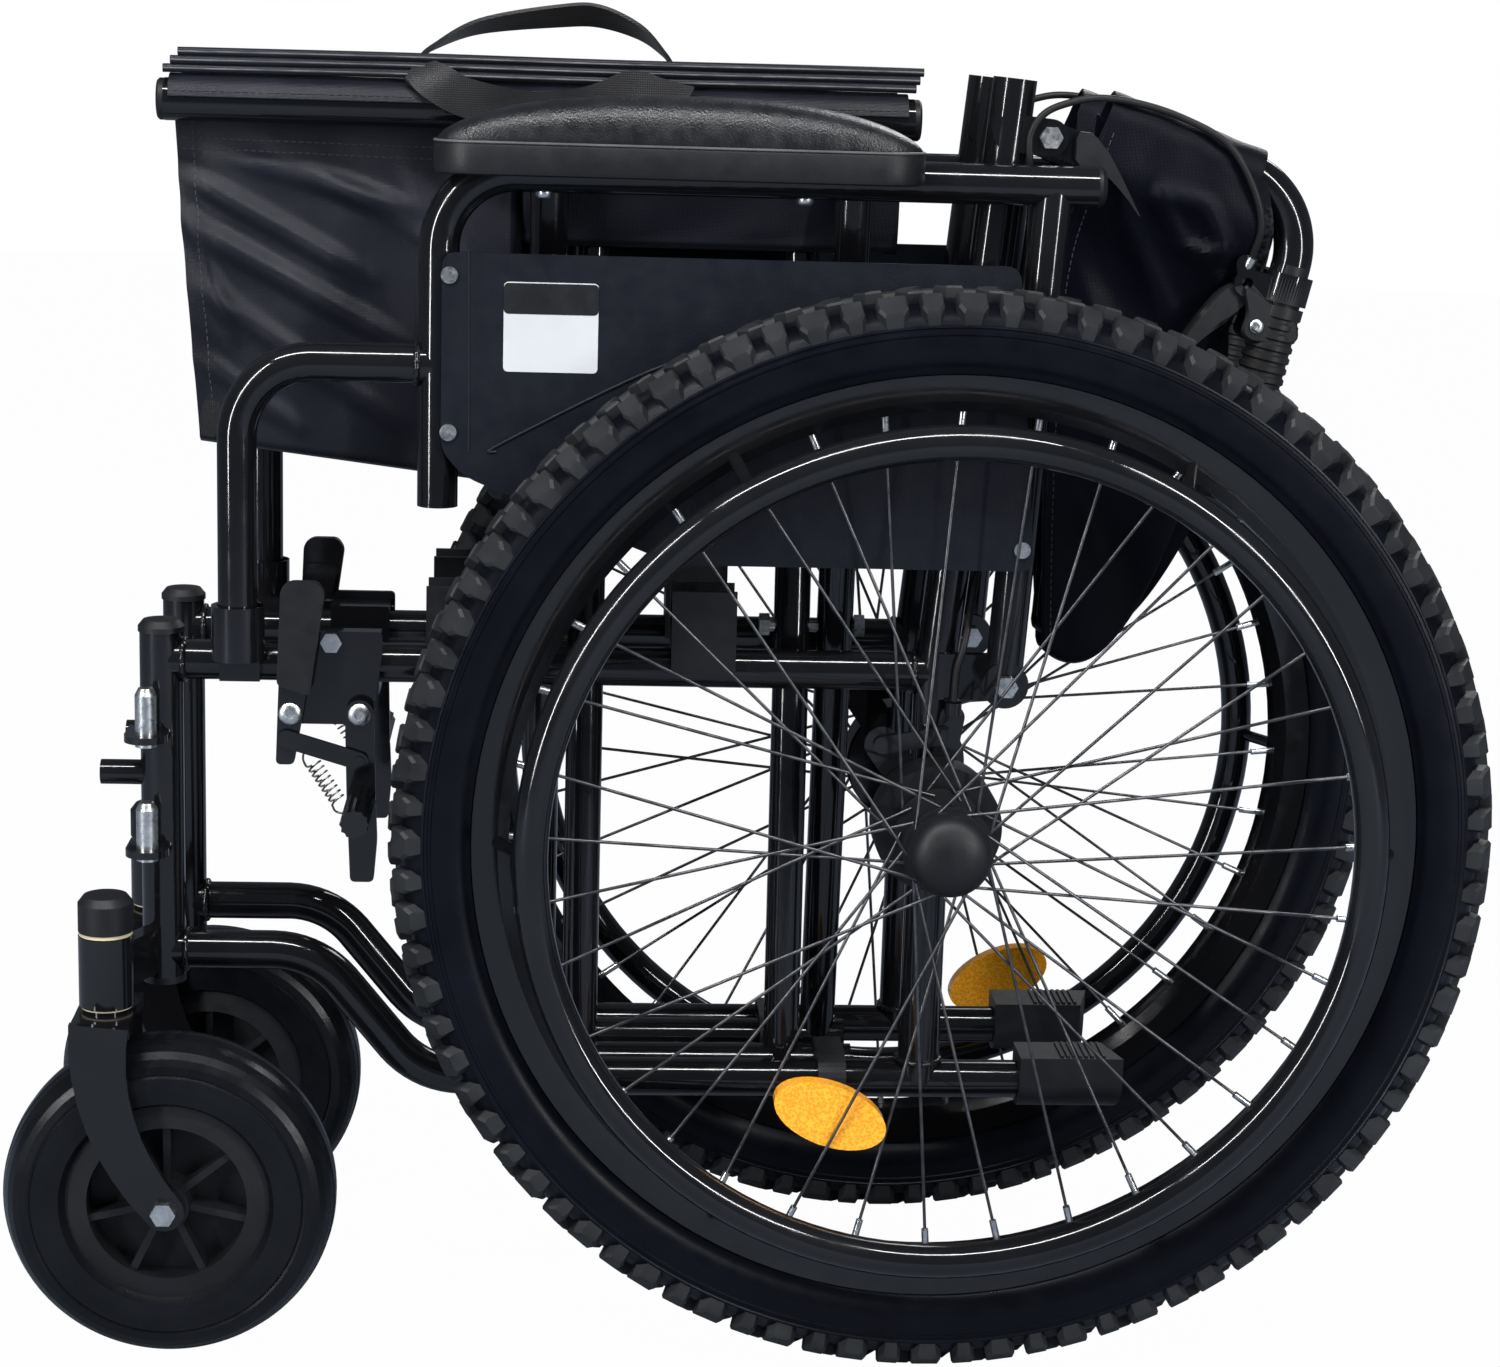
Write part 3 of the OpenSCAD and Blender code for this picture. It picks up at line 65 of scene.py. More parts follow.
def at(points):
    """Millimetres of the tables as metres of the row frame."""
    return (np.asarray(points, float) + (AXLE_X, 0.0, 0.0)) * MM


# Camera, light and floor

IMAGE = (1500, 1367)
FOCAL_PX = 2964.0
SENSOR_MM = 36.0
EYE = Vector((0.110, 1.683, 0.721))
LOOK = Vector((-0.0666, -0.976, -0.206)).normalized()
ROLL = math.radians(1.75)
WHITE, COOL = (1, 1, 1, 1), (0.76, 0.87, 1.0, 1)
SHOWN_RAYS = ["Is Camera Ray", "Is Transmission Ray"]
SKIES = ((COOL, 0.45, None), (COOL, 0.13, ["Is Glossy Ray"]), (WHITE, 1.0, SHOWN_RAYS))
FLOOR_REACH, FLOOR_DROP = 9.0, 0.0005
FLOOR_TINT, FLOOR_GLOW = (0.2, 0.225, 0.27, 1), 0.985
LAMP_TARGET = Vector((0.0, 0.0, 0.4))
LAMPS = (
    ("top_strip", (0.25, 1.3, 2.5), (2.6, 0.13), 70),
    ("front_strip", (1.7, 1.5, 1.1), (0.1, 2.0), 42),
    ("rear_strip", (-1.6, 1.9, 1.2), (0.1, 2.0), 42),
    ("far_fill", (-1.2, -2.0, 2.2), (1.2, 1.2), 34),
)


def make_camera():
    """Camera that stands where the photo was taken, with its small roll."""
    data = bpy.data.cameras.new("camera")
    data.sensor_fit = "HORIZONTAL"
    data.sensor_width = SENSOR_MM
    data.lens = FOCAL_PX * SENSOR_MM / IMAGE[0]
    data.clip_end = 50.0
    camera = bpy.data.objects.new("camera", data)
    level = LOOK.cross(Vector((0, 0, 1))).normalized()
    rise = level.cross(LOOK)
    right = level * math.cos(ROLL) + rise * math.sin(ROLL)
    up = right.cross(LOOK)
    turn = Matrix((right, up, -LOOK)).transposed().to_4x4()
    camera.matrix_world = Matrix.Translation(EYE) @ turn
    bpy.context.scene.collection.objects.link(camera)
    bpy.context.scene.camera = camera


def link_light_path(tree, sockets):
    """Highest of the named light path outputs."""
    path = tree.nodes.new("ShaderNodeLightPath")
    value = path.outputs[sockets[0]]
    for name in sockets[1:]:
        node = tree.nodes.new("ShaderNodeMath")
        node.operation = "MAXIMUM"
        tree.links.new(value, node.inputs[0])
        tree.links.new(path.outputs[name], node.inputs[1])
        value = node.outputs[0]
    return value


def make_world():
    """White behind the chair, cool and dimmer as fill light, dimmest in reflections."""
    world = bpy.data.worlds.new("studio")
    bpy.context.scene.world = world
    world.use_nodes = True
    tree = world.node_tree
    tree.nodes.clear()
    shown = None
    for colour, strength, rays in SKIES:
        sky = tree.nodes.new("ShaderNodeBackground")
        sky.inputs["Color"].default_value = colour
        sky.inputs["Strength"].default_value = strength
        if rays is None:
            shown = sky.outputs[0]
            continue
        mix = tree.nodes.new("ShaderNodeMixShader")
        tree.links.new(link_light_path(tree, rays), mix.inputs[0])
        tree.links.new(shown, mix.inputs[1])
        tree.links.new(sky.outputs[0], mix.inputs[2])
        shown = mix.outputs[0]
    out = tree.nodes.new("ShaderNodeOutputWorld")
    tree.links.new(shown, out.inputs["Surface"])


def area_light(name, place, size, power):
    """Lamp turned toward the middle of the chair."""
    data = bpy.data.lights.new(name, "AREA")
    data.shape = "RECTANGLE"
    data.size, data.size_y = size
    data.energy = power
    lamp = bpy.data.objects.new(name, data)
    place = Vector(place)
    turn = (LAMP_TARGET - place).to_track_quat("-Z", "Y").to_matrix().to_4x4()
    lamp.matrix_world = Matrix.Translation(place) @ turn
    bpy.context.scene.collection.objects.link(lamp)


def make_floor():
    """Paper that shows white to the camera and dark in the paint's reflections."""
    mesh = bpy.data.meshes.new("floor")
    bm = bmesh.new()
    bmesh.ops.create_circle(bm, cap_ends=True, segments=96, radius=FLOOR_REACH)
    bm.to_mesh(mesh)
    bm.free()
    floor = bpy.data.objects.new("floor", mesh)
    floor.location.z = -FLOOR_DROP
    bpy.context.scene.collection.objects.link(floor)
    mat = bpy.data.materials.new("floor_paper")
    mat.use_nodes = True
    tree = mat.node_tree
    tree.nodes.clear()
    out = tree.nodes.new("ShaderNodeOutputMaterial")
    paper = tree.nodes.new("ShaderNodeBsdfDiffuse")
    paper.inputs["Color"].default_value = FLOOR_TINT
    glow = tree.nodes.new("ShaderNodeEmission")
    glow.inputs["Color"].default_value = WHITE
    share = tree.nodes.new("ShaderNodeMath")
    share.operation = "MULTIPLY"
    share.inputs[1].default_value = FLOOR_GLOW
    mix = tree.nodes.new("ShaderNodeMixShader")
    tree.links.new(link_light_path(tree, SHOWN_RAYS), share.inputs[0])
    tree.links.new(share.outputs[0], mix.inputs[0])
    tree.links.new(paper.outputs[0], mix.inputs[1])
    tree.links.new(glow.outputs[0], mix.inputs[2])
    tree.links.new(mix.outputs[0], out.inputs["Surface"])
    mesh.materials.append(mat)


# Materials


def surface(name, colour, rough, metal=0.0, spec=0.5, coat=0.0, sheen=0.0):
    mat = bpy.data.materials.new(name)
    mat.use_nodes = True
    shader = mat.node_tree.nodes["Principled BSDF"]
    shader.inputs["Base Color"].default_value = (*colour, 1)
    shader.inputs["Roughness"].default_value = rough
    shader.inputs["Metallic"].default_value = metal
    shader.inputs["Specular IOR Level"].default_value = spec
    shader.inputs["Coat Weight"].default_value = coat
    shader.inputs["Coat Roughness"].default_value = 0.04
    shader.inputs["Sheen Weight"].default_value = sheen
    shader.inputs["Sheen Roughness"].default_value = 0.4
    return mat


def texture(mat, kind, scale, stretch=(1, 1, 1), **settings):
    """Output of a procedural texture in the part's own coordinates."""
    tree = mat.node_tree
    coords = tree.nodes.new("ShaderNodeTexCoord")
    mapping = tree.nodes.new("ShaderNodeMapping")
    mapping.inputs["Scale"].default_value = stretch
    tree.links.new(coords.outputs["Object"], mapping.inputs["Vector"])
    node = tree.nodes.new("ShaderNodeTex" + kind)
    tree.links.new(mapping.outputs["Vector"], node.inputs["Vector"])
    node.inputs["Scale"].default_value = scale
    for key, value in settings.items():
        if key in node.inputs:
            node.inputs[key].default_value = value
        else:
            setattr(node, key, value)
    return node.outputs["Distance" if kind == "Voronoi" else "Fac"]


def spread(mat, value, low, high, span=(0.3, 0.7)):
    """Middle span of a texture drawn out to low and high."""
    node = mat.node_tree.nodes.new("ShaderNodeMapRange")
    node.inputs["From Min"].default_value, node.inputs["From Max"].default_value = span
    node.inputs["To Min"].default_value, node.inputs["To Max"].default_value = low, high
    mat.node_tree.links.new(value, node.inputs["Value"])
    return node.outputs["Result"]


def colour_between(mat, value, dark, light):
    tree = mat.node_tree
    node = tree.nodes.new("ShaderNodeMix")
    node.data_type = "RGBA"
    node.inputs["A"].default_value = (*dark, 1)
    node.inputs["B"].default_value = (*light, 1)
    tree.links.new(spread(mat, value, 0, 1), node.inputs["Factor"])
    tree.links.new(node.outputs["Result"], tree.nodes["Principled BSDF"].inputs["Base Color"])


def clouded(mat, dark, light, low, high, shade, wear):
    """Noise in colour and roughness; shade and wear give the scale and detail of each."""
    colour_between(mat, texture(mat, "Noise", shade[0], Detail=shade[1]), dark, light)
    rough = spread(mat, texture(mat, "Noise", wear[0], Detail=wear[1]), low, high)
    tree = mat.node_tree
    tree.links.new(rough, tree.nodes["Principled BSDF"].inputs["Roughness"])


def bump(mat, value, depth_mm, strength=1.0):
    """Relief from a texture, on top of any the material has."""
    tree = mat.node_tree
    node = tree.nodes.new("ShaderNodeBump")
    node.inputs["Distance"].default_value = depth_mm * MM
    node.inputs["Strength"].default_value = strength
    tree.links.new(value, node.inputs["Height"])
    normal = tree.nodes["Principled BSDF"].inputs["Normal"]
    if normal.links:
        tree.links.new(normal.links[0].from_socket, node.inputs["Normal"])
    tree.links.new(node.outputs["Normal"], normal)


def make_paint():
    mat = surface("gloss_paint", (0.004, 0.004, 0.0045), 0.15, spec=0.5)
    dark, light = (0.003, 0.003, 0.0036), (0.0065, 0.0065, 0.0075)
    clouded(mat, dark, light, 0.06, 0.16, (9.0, 5.0), (60.0, 6.0))
    bump(mat, texture(mat, "Noise", 380.0, Detail=2.0), 0.06, 0.2)
    return mat


def make_plastic(name, dark, light, low, high, grain=1400.0, depth=0.12, spec=0.3):
    mat = surface(name, dark, low, spec=spec)
    clouded(mat, dark, light, low, high, (22.0, 6.0), (90.0, 4.0))
    bump(mat, texture(mat, "Voronoi", grain), depth, 0.35)
    return mat


def make_metal(name, dark, light, low, high):
    mat = surface(name, dark, low, metal=1.0)
    clouded(mat, dark, light, low, high, (120.0, 6.0), (400.0, 4.0))
    bump(mat, texture(mat, "Noise", 900.0, Detail=2.0), 0.05, 0.25)
    return mat


def make_rubber(name, dark, light, low, high, spec=0.25):
    mat = surface(name, dark, low, spec=spec)
    clouded(mat, dark, light, low, high, (30.0, 8.0), (70.0, 5.0))
    bump(mat, texture(mat, "Noise", 1100.0, Detail=4.0), 0.15, 0.3)
    return mat


def make_cloth(name, dark, light, thread, sheen, spec=0.24):
    """Plain weave: two crossed sets of threads, with a slow change of shade."""
    mat = surface(name, dark, 0.45, spec=spec, sheen=sheen)
    clouded(mat, dark, light, 0.34, 0.5, (14.0, 6.0), (40.0, 4.0))
    for axis in ("X", "Z"):
        threads = texture(mat, "Wave", thread, bands_direction=axis, Distortion=0.6, Detail=1.0)
        bump(mat, threads, 0.14, 0.35)
    bump(mat, texture(mat, "Noise", 26.0, Detail=3.0), 1.6, 0.22)
    return mat


def make_mesh_cloth():
    """Spacer mesh: rows of small open cells, their sunken middles darkened as painted shade."""
    mat = surface("spacer_mesh", (0.004, 0.0042, 0.006), 0.6, spec=0.1)
    cells = texture(mat, "Voronoi", 330.0)
    # Painted shade: the middles of the cells are dark and the ridges between them lighter.
    colour_between(mat, cells, (0.001, 0.001, 0.0014), (0.014, 0.0145, 0.018))
    bump(mat, cells, 0.8, 0.7)
    return mat


def make_vinyl():
    mat = surface("pad_vinyl", (0.006, 0.0067, 0.008), 0.36, spec=0.4)
    dark, light = (0.0038, 0.0043, 0.0054), (0.0086, 0.0096, 0.0116)
    clouded(mat, dark, light, 0.28, 0.46, (40.0, 6.0), (120.0, 5.0))
    bump(mat, texture(mat, "Voronoi", 850.0), 0.3, 0.5)
    bump(mat, texture(mat, "Noise", 160.0, stretch=(1.0, 0.25, 0.5), Detail=4.0), 0.9, 0.45)
    return mat


def make_amber():
    mat = surface("amber_lens", (0.9, 0.34, 0.012), 0.14, spec=0.5, coat=0.3)
    cells = texture(mat, "Voronoi", 620.0)
    colour_between(mat, cells, (0.8, 0.27, 0.008), (0.95, 0.43, 0.025))
    bump(mat, cells, 0.3, 0.45)
    return mat


make_camera()
make_world()
make_floor()
for lamp in LAMPS:
    area_light(*lamp)
bpy.context.scene.view_settings.view_transform = "Standard"

PAINT = make_paint()
PLASTIC = make_plastic("matte_plastic", (0.004, 0.0043, 0.0054), (0.0078, 0.0083, 0.01), 0.4, 0.56)
PANEL = make_plastic(
    "panel_plastic", (0.0042, 0.0051, 0.0086), (0.0064, 0.0076, 0.0122), 0.36, 0.5, 900.0, 0.2, 0.2
)
ZINC = make_metal("zinc_plate", (0.5, 0.51, 0.52), (0.72, 0.72, 0.7), 0.22, 0.4)
STEEL = make_metal("spring_steel", (0.1, 0.1, 0.105), (0.2, 0.2, 0.205), 0.25, 0.4)
SPOKE = make_metal("spoke_black", (0.08, 0.08, 0.085), (0.16, 0.16, 0.165), 0.3, 0.45)
RUBBER = make_rubber("tyre_rubber", (0.0076, 0.0083, 0.0096), (0.0195, 0.0208, 0.0226), 0.45, 0.62)
WALL = make_rubber("tyre_wall", (0.0016, 0.002, 0.0038), (0.003, 0.0037, 0.0066), 0.26, 0.38, 0.13)
GLOSS = make_rubber(
    "caster_rubber", (0.0022, 0.0025, 0.0034), (0.0044, 0.0049, 0.0062), 0.22, 0.34, 0.22
)
SOFT = make_rubber("soft_rubber", (0.006, 0.006, 0.0065), (0.013, 0.013, 0.0135), 0.38, 0.55)
NYLON = make_cloth("nylon_cloth", (0.0026, 0.0031, 0.0062), (0.0068, 0.0078, 0.0135), 420.0, 0.04)
MESH = make_mesh_cloth()
# The same nylon as the seat, made darker and with weaker sheen and reflection: painted shade on the
# back cloth, which hangs in shade.
SHADED_BACK_NYLON = make_cloth(
    "back_cloth_painted_shade", (0.0012, 0.0014, 0.0036), (0.0027, 0.0031, 0.0068), 420.0, 0.025, 0.09
)
WEBBING = make_cloth("webbing", (0.006, 0.006, 0.0068), (0.013, 0.013, 0.0138), 260.0, 0.08)
VINYL = make_vinyl()
AMBER = make_amber()
CREAM = make_plastic("cream_washer", (0.5, 0.43, 0.27), (0.62, 0.55, 0.38), 0.4, 0.55)
THREAD = make_plastic("stitch_thread", (0.02, 0.02, 0.023), (0.05, 0.05, 0.055), 0.5, 0.7)
PAPER = make_plastic("blank_sticker", (0.42, 0.43, 0.45), (0.48, 0.49, 0.5), 0.35, 0.5, 600.0, 0.05)
SEAM = make_plastic("seam_edge", (0.05, 0.05, 0.052), (0.11, 0.11, 0.112), 0.35, 0.5)

# Mesh building


def piece(name, points, faces, materials, smooth_angle=40.0, groups=None):
    """New object from points in table millimetres; groups gives each face's material."""
    mesh = bpy.data.meshes.new(name)
    mesh.from_pydata(at(points).tolist(), [], [list(map(int, f)) for f in faces])
    materials = materials if isinstance(materials, (list, tuple)) else [materials]
    for mat in materials:
        mesh.materials.append(mat)
    if groups is not None:
        mesh.polygons.foreach_set("material_index", list(groups))
    bm = bmesh.new()
    bm.from_mesh(mesh)
    bmesh.ops.recalc_face_normals(bm, faces=bm.faces)
    bm.to_mesh(mesh)
    bm.free()
    mesh.polygons.foreach_set("use_smooth", [True] * len(mesh.polygons))
    mesh.set_sharp_from_angle(angle=math.radians(smooth_angle))
    obj = bpy.data.objects.new(name, mesh)
    bpy.context.scene.collection.objects.link(obj)
    return obj


class Shape:
    """Points and faces gathered from several simple bodies."""

    def __init__(self):
        self.points, self.faces, self.groups = [], [], []

    def add(self, points, faces, group=0):
        start = len(self.points)
        self.points.extend(np.asarray(points, float).tolist())
        self.faces.extend([[start + i for i in f] for f in faces])
        self.groups.extend([group] * len(faces))

    def make(self, name, materials, smooth_angle=40.0):
        return piece(name, self.points, self.faces, materials, smooth_angle, self.groups)


def grid_faces(rows, cols, wrap=False, close=False):
    """Faces of a grid of points; wrap joins the ends of its rows, close its first and last row."""
    faces = []
    for i in range(rows if close else rows - 1):
        here, ahead = i * cols, (i + 1) % rows * cols
        for j in range(cols if wrap else cols - 1):
            k = (j + 1) % cols
            faces.append([here + j, here + k, ahead + k, ahead + j])
    return faces


def loft(rings):
    """Skin over closed rings of equal length, with its ends closed."""
    rings = np.asarray(rings, float)
    rows, cols = rings.shape[:2]
    faces = grid_faces(rows, cols, wrap=True)
    faces += [list(range(cols)), list(range((rows - 1) * cols, rows * cols))]
    return rings.reshape(-1, 3), faces


def smooth_path(points, per_span=6):
    """Catmull-Rom curve through the points."""
    p = np.asarray(points, float)
    p = np.vstack([2 * p[0] - p[1], p, 2 * p[-1] - p[-2]])
    out = []
    for i in range(1, len(p) - 2):
        for k in range(per_span):
            t = k / per_span
            a, b, c, d = p[i - 1], p[i], p[i + 1], p[i + 2]
            square = 2 * a - 5 * b + 4 * c - d
            cube = 3 * b - a - 3 * c + d
            out.append(0.5 * (2 * b + (c - a) * t + square * t**2 + cube * t**3))
    out.append(p[-2])
    return np.array(out)


def tube(path, radius, sides=10):
    """Round bar along a path, with its ends closed; the radius may change along it."""
    path = np.asarray(path, float)
    radii = np.broadcast_to(radius, len(path))
    along = np.gradient(path, axis=0)
    along /= np.linalg.norm(along, axis=1)[:, None]
    side = np.cross(along[0], (0.3, 0.5, 0.81))
    rings = []
    for p, t, radius in zip(path, along, radii):
        side = side - t * (side @ t)
        side /= np.linalg.norm(side)
        other = np.cross(t, side)
        turn = np.linspace(0, 2 * np.pi, sides, endpoint=False)
        rings.append(p + radius * (np.outer(np.cos(turn), side) + np.outer(np.sin(turn), other)))
    return loft(rings)


def lathe(centre, profile, steps=96):
    """Round body about the Y axis through centre; the closed profile gives radius and y."""
    turn = np.linspace(0, 2 * np.pi, steps, endpoint=False)
    x0, y0, z0 = centre
    points = [
        (x0 + r * math.sin(a), y0 + y, z0 + r * math.cos(a)) for a in turn for r, y in profile
    ]
    return np.array(points), grid_faces(steps, len(profile), wrap=True, close=True)


def cloth_skin(grid, thickness):
    """Thin closed sheet on both sides of a grid of points."""
    grid = np.asarray(grid, float)
    rows, cols = grid.shape[:2]
    normal = np.cross(np.gradient(grid, axis=0), np.gradient(grid, axis=1))
    normal /= np.maximum(np.linalg.norm(normal, axis=2), 1e-9)[..., None]
    top, low = grid + normal * thickness / 2, grid - normal * thickness / 2
    half = rows * cols
    faces = grid_faces(rows, cols)
    faces += [[half + i for i in reversed(f)] for f in grid_faces(rows, cols)]
    rim = list(range(cols)) + [i * cols + cols - 1 for i in range(1, rows)]
    rim += [(rows - 1) * cols + j for j in range(cols - 2, -1, -1)]
    rim += [i * cols for i in range(rows - 2, 0, -1)]
    faces += [[b, a, half + a, half + b] for a, b in zip(rim, rim[1:] + rim[:1])]
    return np.vstack([top.reshape(-1, 3), low.reshape(-1, 3)]), faces


def ribbon(path, across, thickness):
    """Flat strip along a path; across is half its width as a vector."""
    path = np.asarray(path, float)
    across = np.broadcast_to(np.asarray(across, float), path.shape)
    half = across * 0.5
    grid = np.stack([path - across, path - half, path, path + half, path + across], axis=1)
    return cloth_skin(grid, thickness)


def mirrored(points, side):
    """Points of the left side as they lie on the given side."""
    return np.asarray(points, float) * (1, side, 1)


def settle(shape, name, side, materials, body, smooth_angle=40.0):
    """Piece on one side of the chair that rides on a body."""
    shape.points = mirrored(shape.points, side).tolist()
    obj = shape.make(name, materials, smooth_angle)
    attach(obj, body)
    return obj


def softened(outline, rounds=2):
    """Outline with its corners cut away evenly."""
    p = np.asarray(outline, float)
    for _ in range(rounds):
        q = np.roll(p, -1, axis=0)
        p = np.stack([p * 0.8 + q * 0.2, p * 0.2 + q * 0.8], axis=1).reshape(-1, 2)
    return p


def plate(outline, y_low, y_high, bevel=0.8):
    """Plate between two distances from the middle, its rims bevelled; the outline gives x and z."""
    outline = np.asarray(outline, float)
    away = outline - outline.mean(axis=0)
    reach = np.maximum(np.linalg.norm(away, axis=1), 1.0)
    inner = outline - away * (bevel / reach)[:, None]
    levels = ((inner, y_low), (outline, y_low + bevel), (outline, y_high - bevel), (inner, y_high))
    return loft([[(x, y, z) for x, z in ring] for ring, y in levels])


def rounds_x(y, z, levels, steps=32):
    """Round body along X: each level gives its x and radius."""
    turn = np.linspace(0, 2 * np.pi, steps, endpoint=False)
    return loft([[(x, y + r * math.cos(a), z + r * math.sin(a)) for a in turn] for x, r in levels])


def rounds_z(x, y, levels, steps=48):
    """Round body along Z: each level gives its z and radius."""
    turn = np.linspace(0, 2 * np.pi, steps, endpoint=False)
    return loft([[(x + r * math.cos(a), y + r * math.sin(a), z) for a in turn] for z, r in levels])


def rounded_rect(x0, x1, z0, z1, r, count=6):
    """Outline of a rectangle with round corners."""
    centres = ((x1 - r, z1 - r), (x0 + r, z1 - r), (x0 + r, z0 + r), (x1 - r, z0 + r))
    out = []
    for (cx, cz), start in zip(centres, (0, 90, 180, 270)):
        for a in np.radians(np.linspace(start, start + 90, count)):
            out.append((cx + r * math.cos(a), cz + r * math.sin(a)))
    return out


# CAD nodes that keep their shape


def dress(node, *materials, choose=None):
    """Materials of a CAD node; choose picks one by the middle of each face."""
    mesh = NODES[node].data
    mesh.materials.clear()
    for mat in materials:
        mesh.materials.append(mat)
    for face in mesh.polygons:
        middle = np.array(face.center) / MM - (AXLE_X, 0, 0)
        face.material_index = choose(middle) if choose else 0
    mesh.polygons.foreach_set("use_smooth", [True] * len(mesh.polygons))
    mesh.set_sharp_from_angle(angle=math.radians(SHARP_ANGLE))


WHEEL_R = 304.0
WHEEL_Y = 119.0
NIPPLE_R = 222.0
WASHER_LOW = (199.0, 201.5)
WASHER_TOP = (241.2, 243.35)
PIVOT_LEGS, PIVOT_Z = (53, 222), 401.1
PIVOT_BOLT_R, LEG_HALF = 7, 10
PARKING_PLATE_Y, PARKING_GRIP_Y = 65.4, 73.2
ARM_CAP_X = -70
CLAMP_X, CLAMP_Z = -140, 606
SHARP_ANGLE = 32
PAINTED = (
    "frame", "rim", "handrim", "parking_shoe", "caster_fork", "armrest", "hub_brake", "brake_arm",
)
MOULDED = ("tube_caps", "rail_blocks", "hub", "caster_rim", "brake_lever")


def near_axis(p, x, z):
    """Distance from a line that runs across the chair."""
    return math.hypot(p[0] - x, p[2] - z)


def caster_finish(p):
    """Zinc bolts, cream washers at both ends of the stem housing, plastic cap."""
    if any(low < p[2] < high for low, high in (WASHER_LOW, WASHER_TOP)):
        return 1
    return 2 if p[2] > WASHER_TOP[1] else 0


def nipple(p):
    """Zinc nipples at the outer ends of the spokes."""
    return int(near_axis(p, 0, WHEEL_R) > NIPPLE_R)


def bolt_end(p):
    """Zinc bolts of the crossing, beside the brace legs."""
    beside = min(abs(p[0] - x) for x in PIVOT_LEGS)
    return int(abs(p[2] - PIVOT_Z) < PIVOT_BOLT_R and beside > LEG_HALF)


def lever_clamp(p):
    """Moulded clamp of the hand brake on the cane."""
    return int(p[0] < CLAMP_X and p[2] < CLAMP_Z)


def beyond(y):
    """Second material outside a distance from the middle."""
    return lambda p: int(abs(p[1]) > y)


def dress_nodes():
    """Materials of all CAD nodes that stay in the scene."""
    for name, _ in SIDES:
        for node in PAINTED:
            dress(f"{node}_{name}", PAINT)
        for node in MOULDED:
            dress(f"{node}_{name}", PLASTIC)
        dress(f"frame_hardware_{name}", ZINC)
        dress(f"brake_spring_{name}", STEEL)
        dress(f"caster_tyre_{name}", GLOSS)
        dress(f"skirt_guard_{name}", PANEL)
        dress(f"hand_grip_{name}", SOFT)
        dress(f"reflector_{name}", AMBER)
        dress(f"spokes_{name}", SPOKE, ZINC, choose=nipple)
        dress(f"parking_brake_{name}", PAINT, ZINC, choose=beyond(PARKING_PLATE_Y))
        dress(f"armrest_fittings_{name}", ZINC, PLASTIC, choose=lambda p: int(p[0] < ARM_CAP_X))
        dress(f"caster_hardware_{name}", ZINC, CREAM, PLASTIC, choose=caster_finish)
        dress(f"parking_lever_{name}", PAINT, PLASTIC, choose=beyond(PARKING_GRIP_Y))
        dress(f"upper_cane_{name}", PAINT, PLASTIC, choose=lever_clamp)
    dress("brace_a", PAINT)
    dress("brace_b", PAINT, ZINC, choose=bolt_end)


dress_nodes()

# Rear tyres

TYRE_SIDE = [
    (250.4, 13.2), (258.0, 14.9), (258.6, 18.6), (262.0, 21.6), (266.0, 23.6),
    (271.0, 24.6), (276.0, 24.9), (279.2, 24.7), (279.8, 25.3), (281.0, 25.2),
    (281.6, 24.5), (283.0, 24.3), (283.6, 24.8), (284.6, 24.5), (285.2, 23.8),
    (288.6, 21.6), (292.0, 18.4), (294.6, 14.4), (296.4, 9.0), (297.2, 4.5),
]
CROWN = smooth_path([(297.5, 0.0), (296.5, 9.0), (292.5, 18.0), (284.5, 23.5), (275.0, 25.0)], 8)
KNOBS = 88
KNOB_H = 6.2
SHOULDER_HALF = (8.4, 6.2)
SHOULDER = (
    (((1.08, 11.4), (1.06, 22.5), (0.5, 31.0)), -0.6),
    (((1.0, 12.4), (0.98, 21.0), (0.62, 24.6)), KNOB_H - 1.3),
    (((0.86, 13.4), (0.84, 20.2), (0.5, 23.0)), KNOB_H),
)
CROWN_BLOCK = [(-7.6, -6.5), (1.5, -6.5), (7.4, 0.0), (1.5, 6.5), (-7.6, 6.5), (-2.6, 0.0)]
CROWN_LEVELS = ((1.08, -0.6), (1.0, KNOB_H - 1.0), (0.86, KNOB_H))
CROWN_SHIFT = 4.2
TYRE_STEPS = 176


def crown_frame(v):
    """Point of the tyre section at distance v from its middle, and the way out from it."""
    steps = np.linalg.norm(np.diff(CROWN, axis=0), axis=1)
    run = np.concatenate([[0], np.cumsum(steps)])
    s = min(abs(v), run[-1])
    point = np.array([np.interp(s, run, CROWN[:, k]) for k in (0, 1)])
    ahead = np.array([np.interp(min(s + 1, run[-1]), run, CROWN[:, k]) for k in (0, 1)])
    behind = np.array([np.interp(max(s - 1, 0), run, CROWN[:, k]) for k in (0, 1)])
    along = (ahead - behind) / np.linalg.norm(ahead - behind)
    out = np.array([along[1], -along[0]])
    sign = 1 if v >= 0 else -1
    return point * (1, sign), out * (1, sign)


def tread_point(angle, u, v, h):
    """Point of the tread: u round the tyre, v across it, h above it."""
    point, out = crown_frame(v)
    r, y = point + h * out
    a = angle + u / WHEEL_R
    return (r * math.sin(a), WHEEL_Y + y, WHEEL_R + r * math.cos(a))


def tread_block(shape, angle, rings):
    """Block of the tread: rings of outline points at rising heights, closed on top."""
    n = len(rings[0][0])
    points = [tread_point(angle, u, v, h) for outline, h in rings for u, v in outline]
    top = list(range((len(rings) - 1) * n, len(rings) * n))
    shape.add(points, grid_faces(len(rings), n, wrap=True) + [top])


def grown(outline, share, move=(0, 0)):
    """Outline scaled about its middle and moved."""
    middle = np.mean(outline, axis=0)
    return [tuple(middle + (np.array(p) - middle) * share + move) for p in outline]


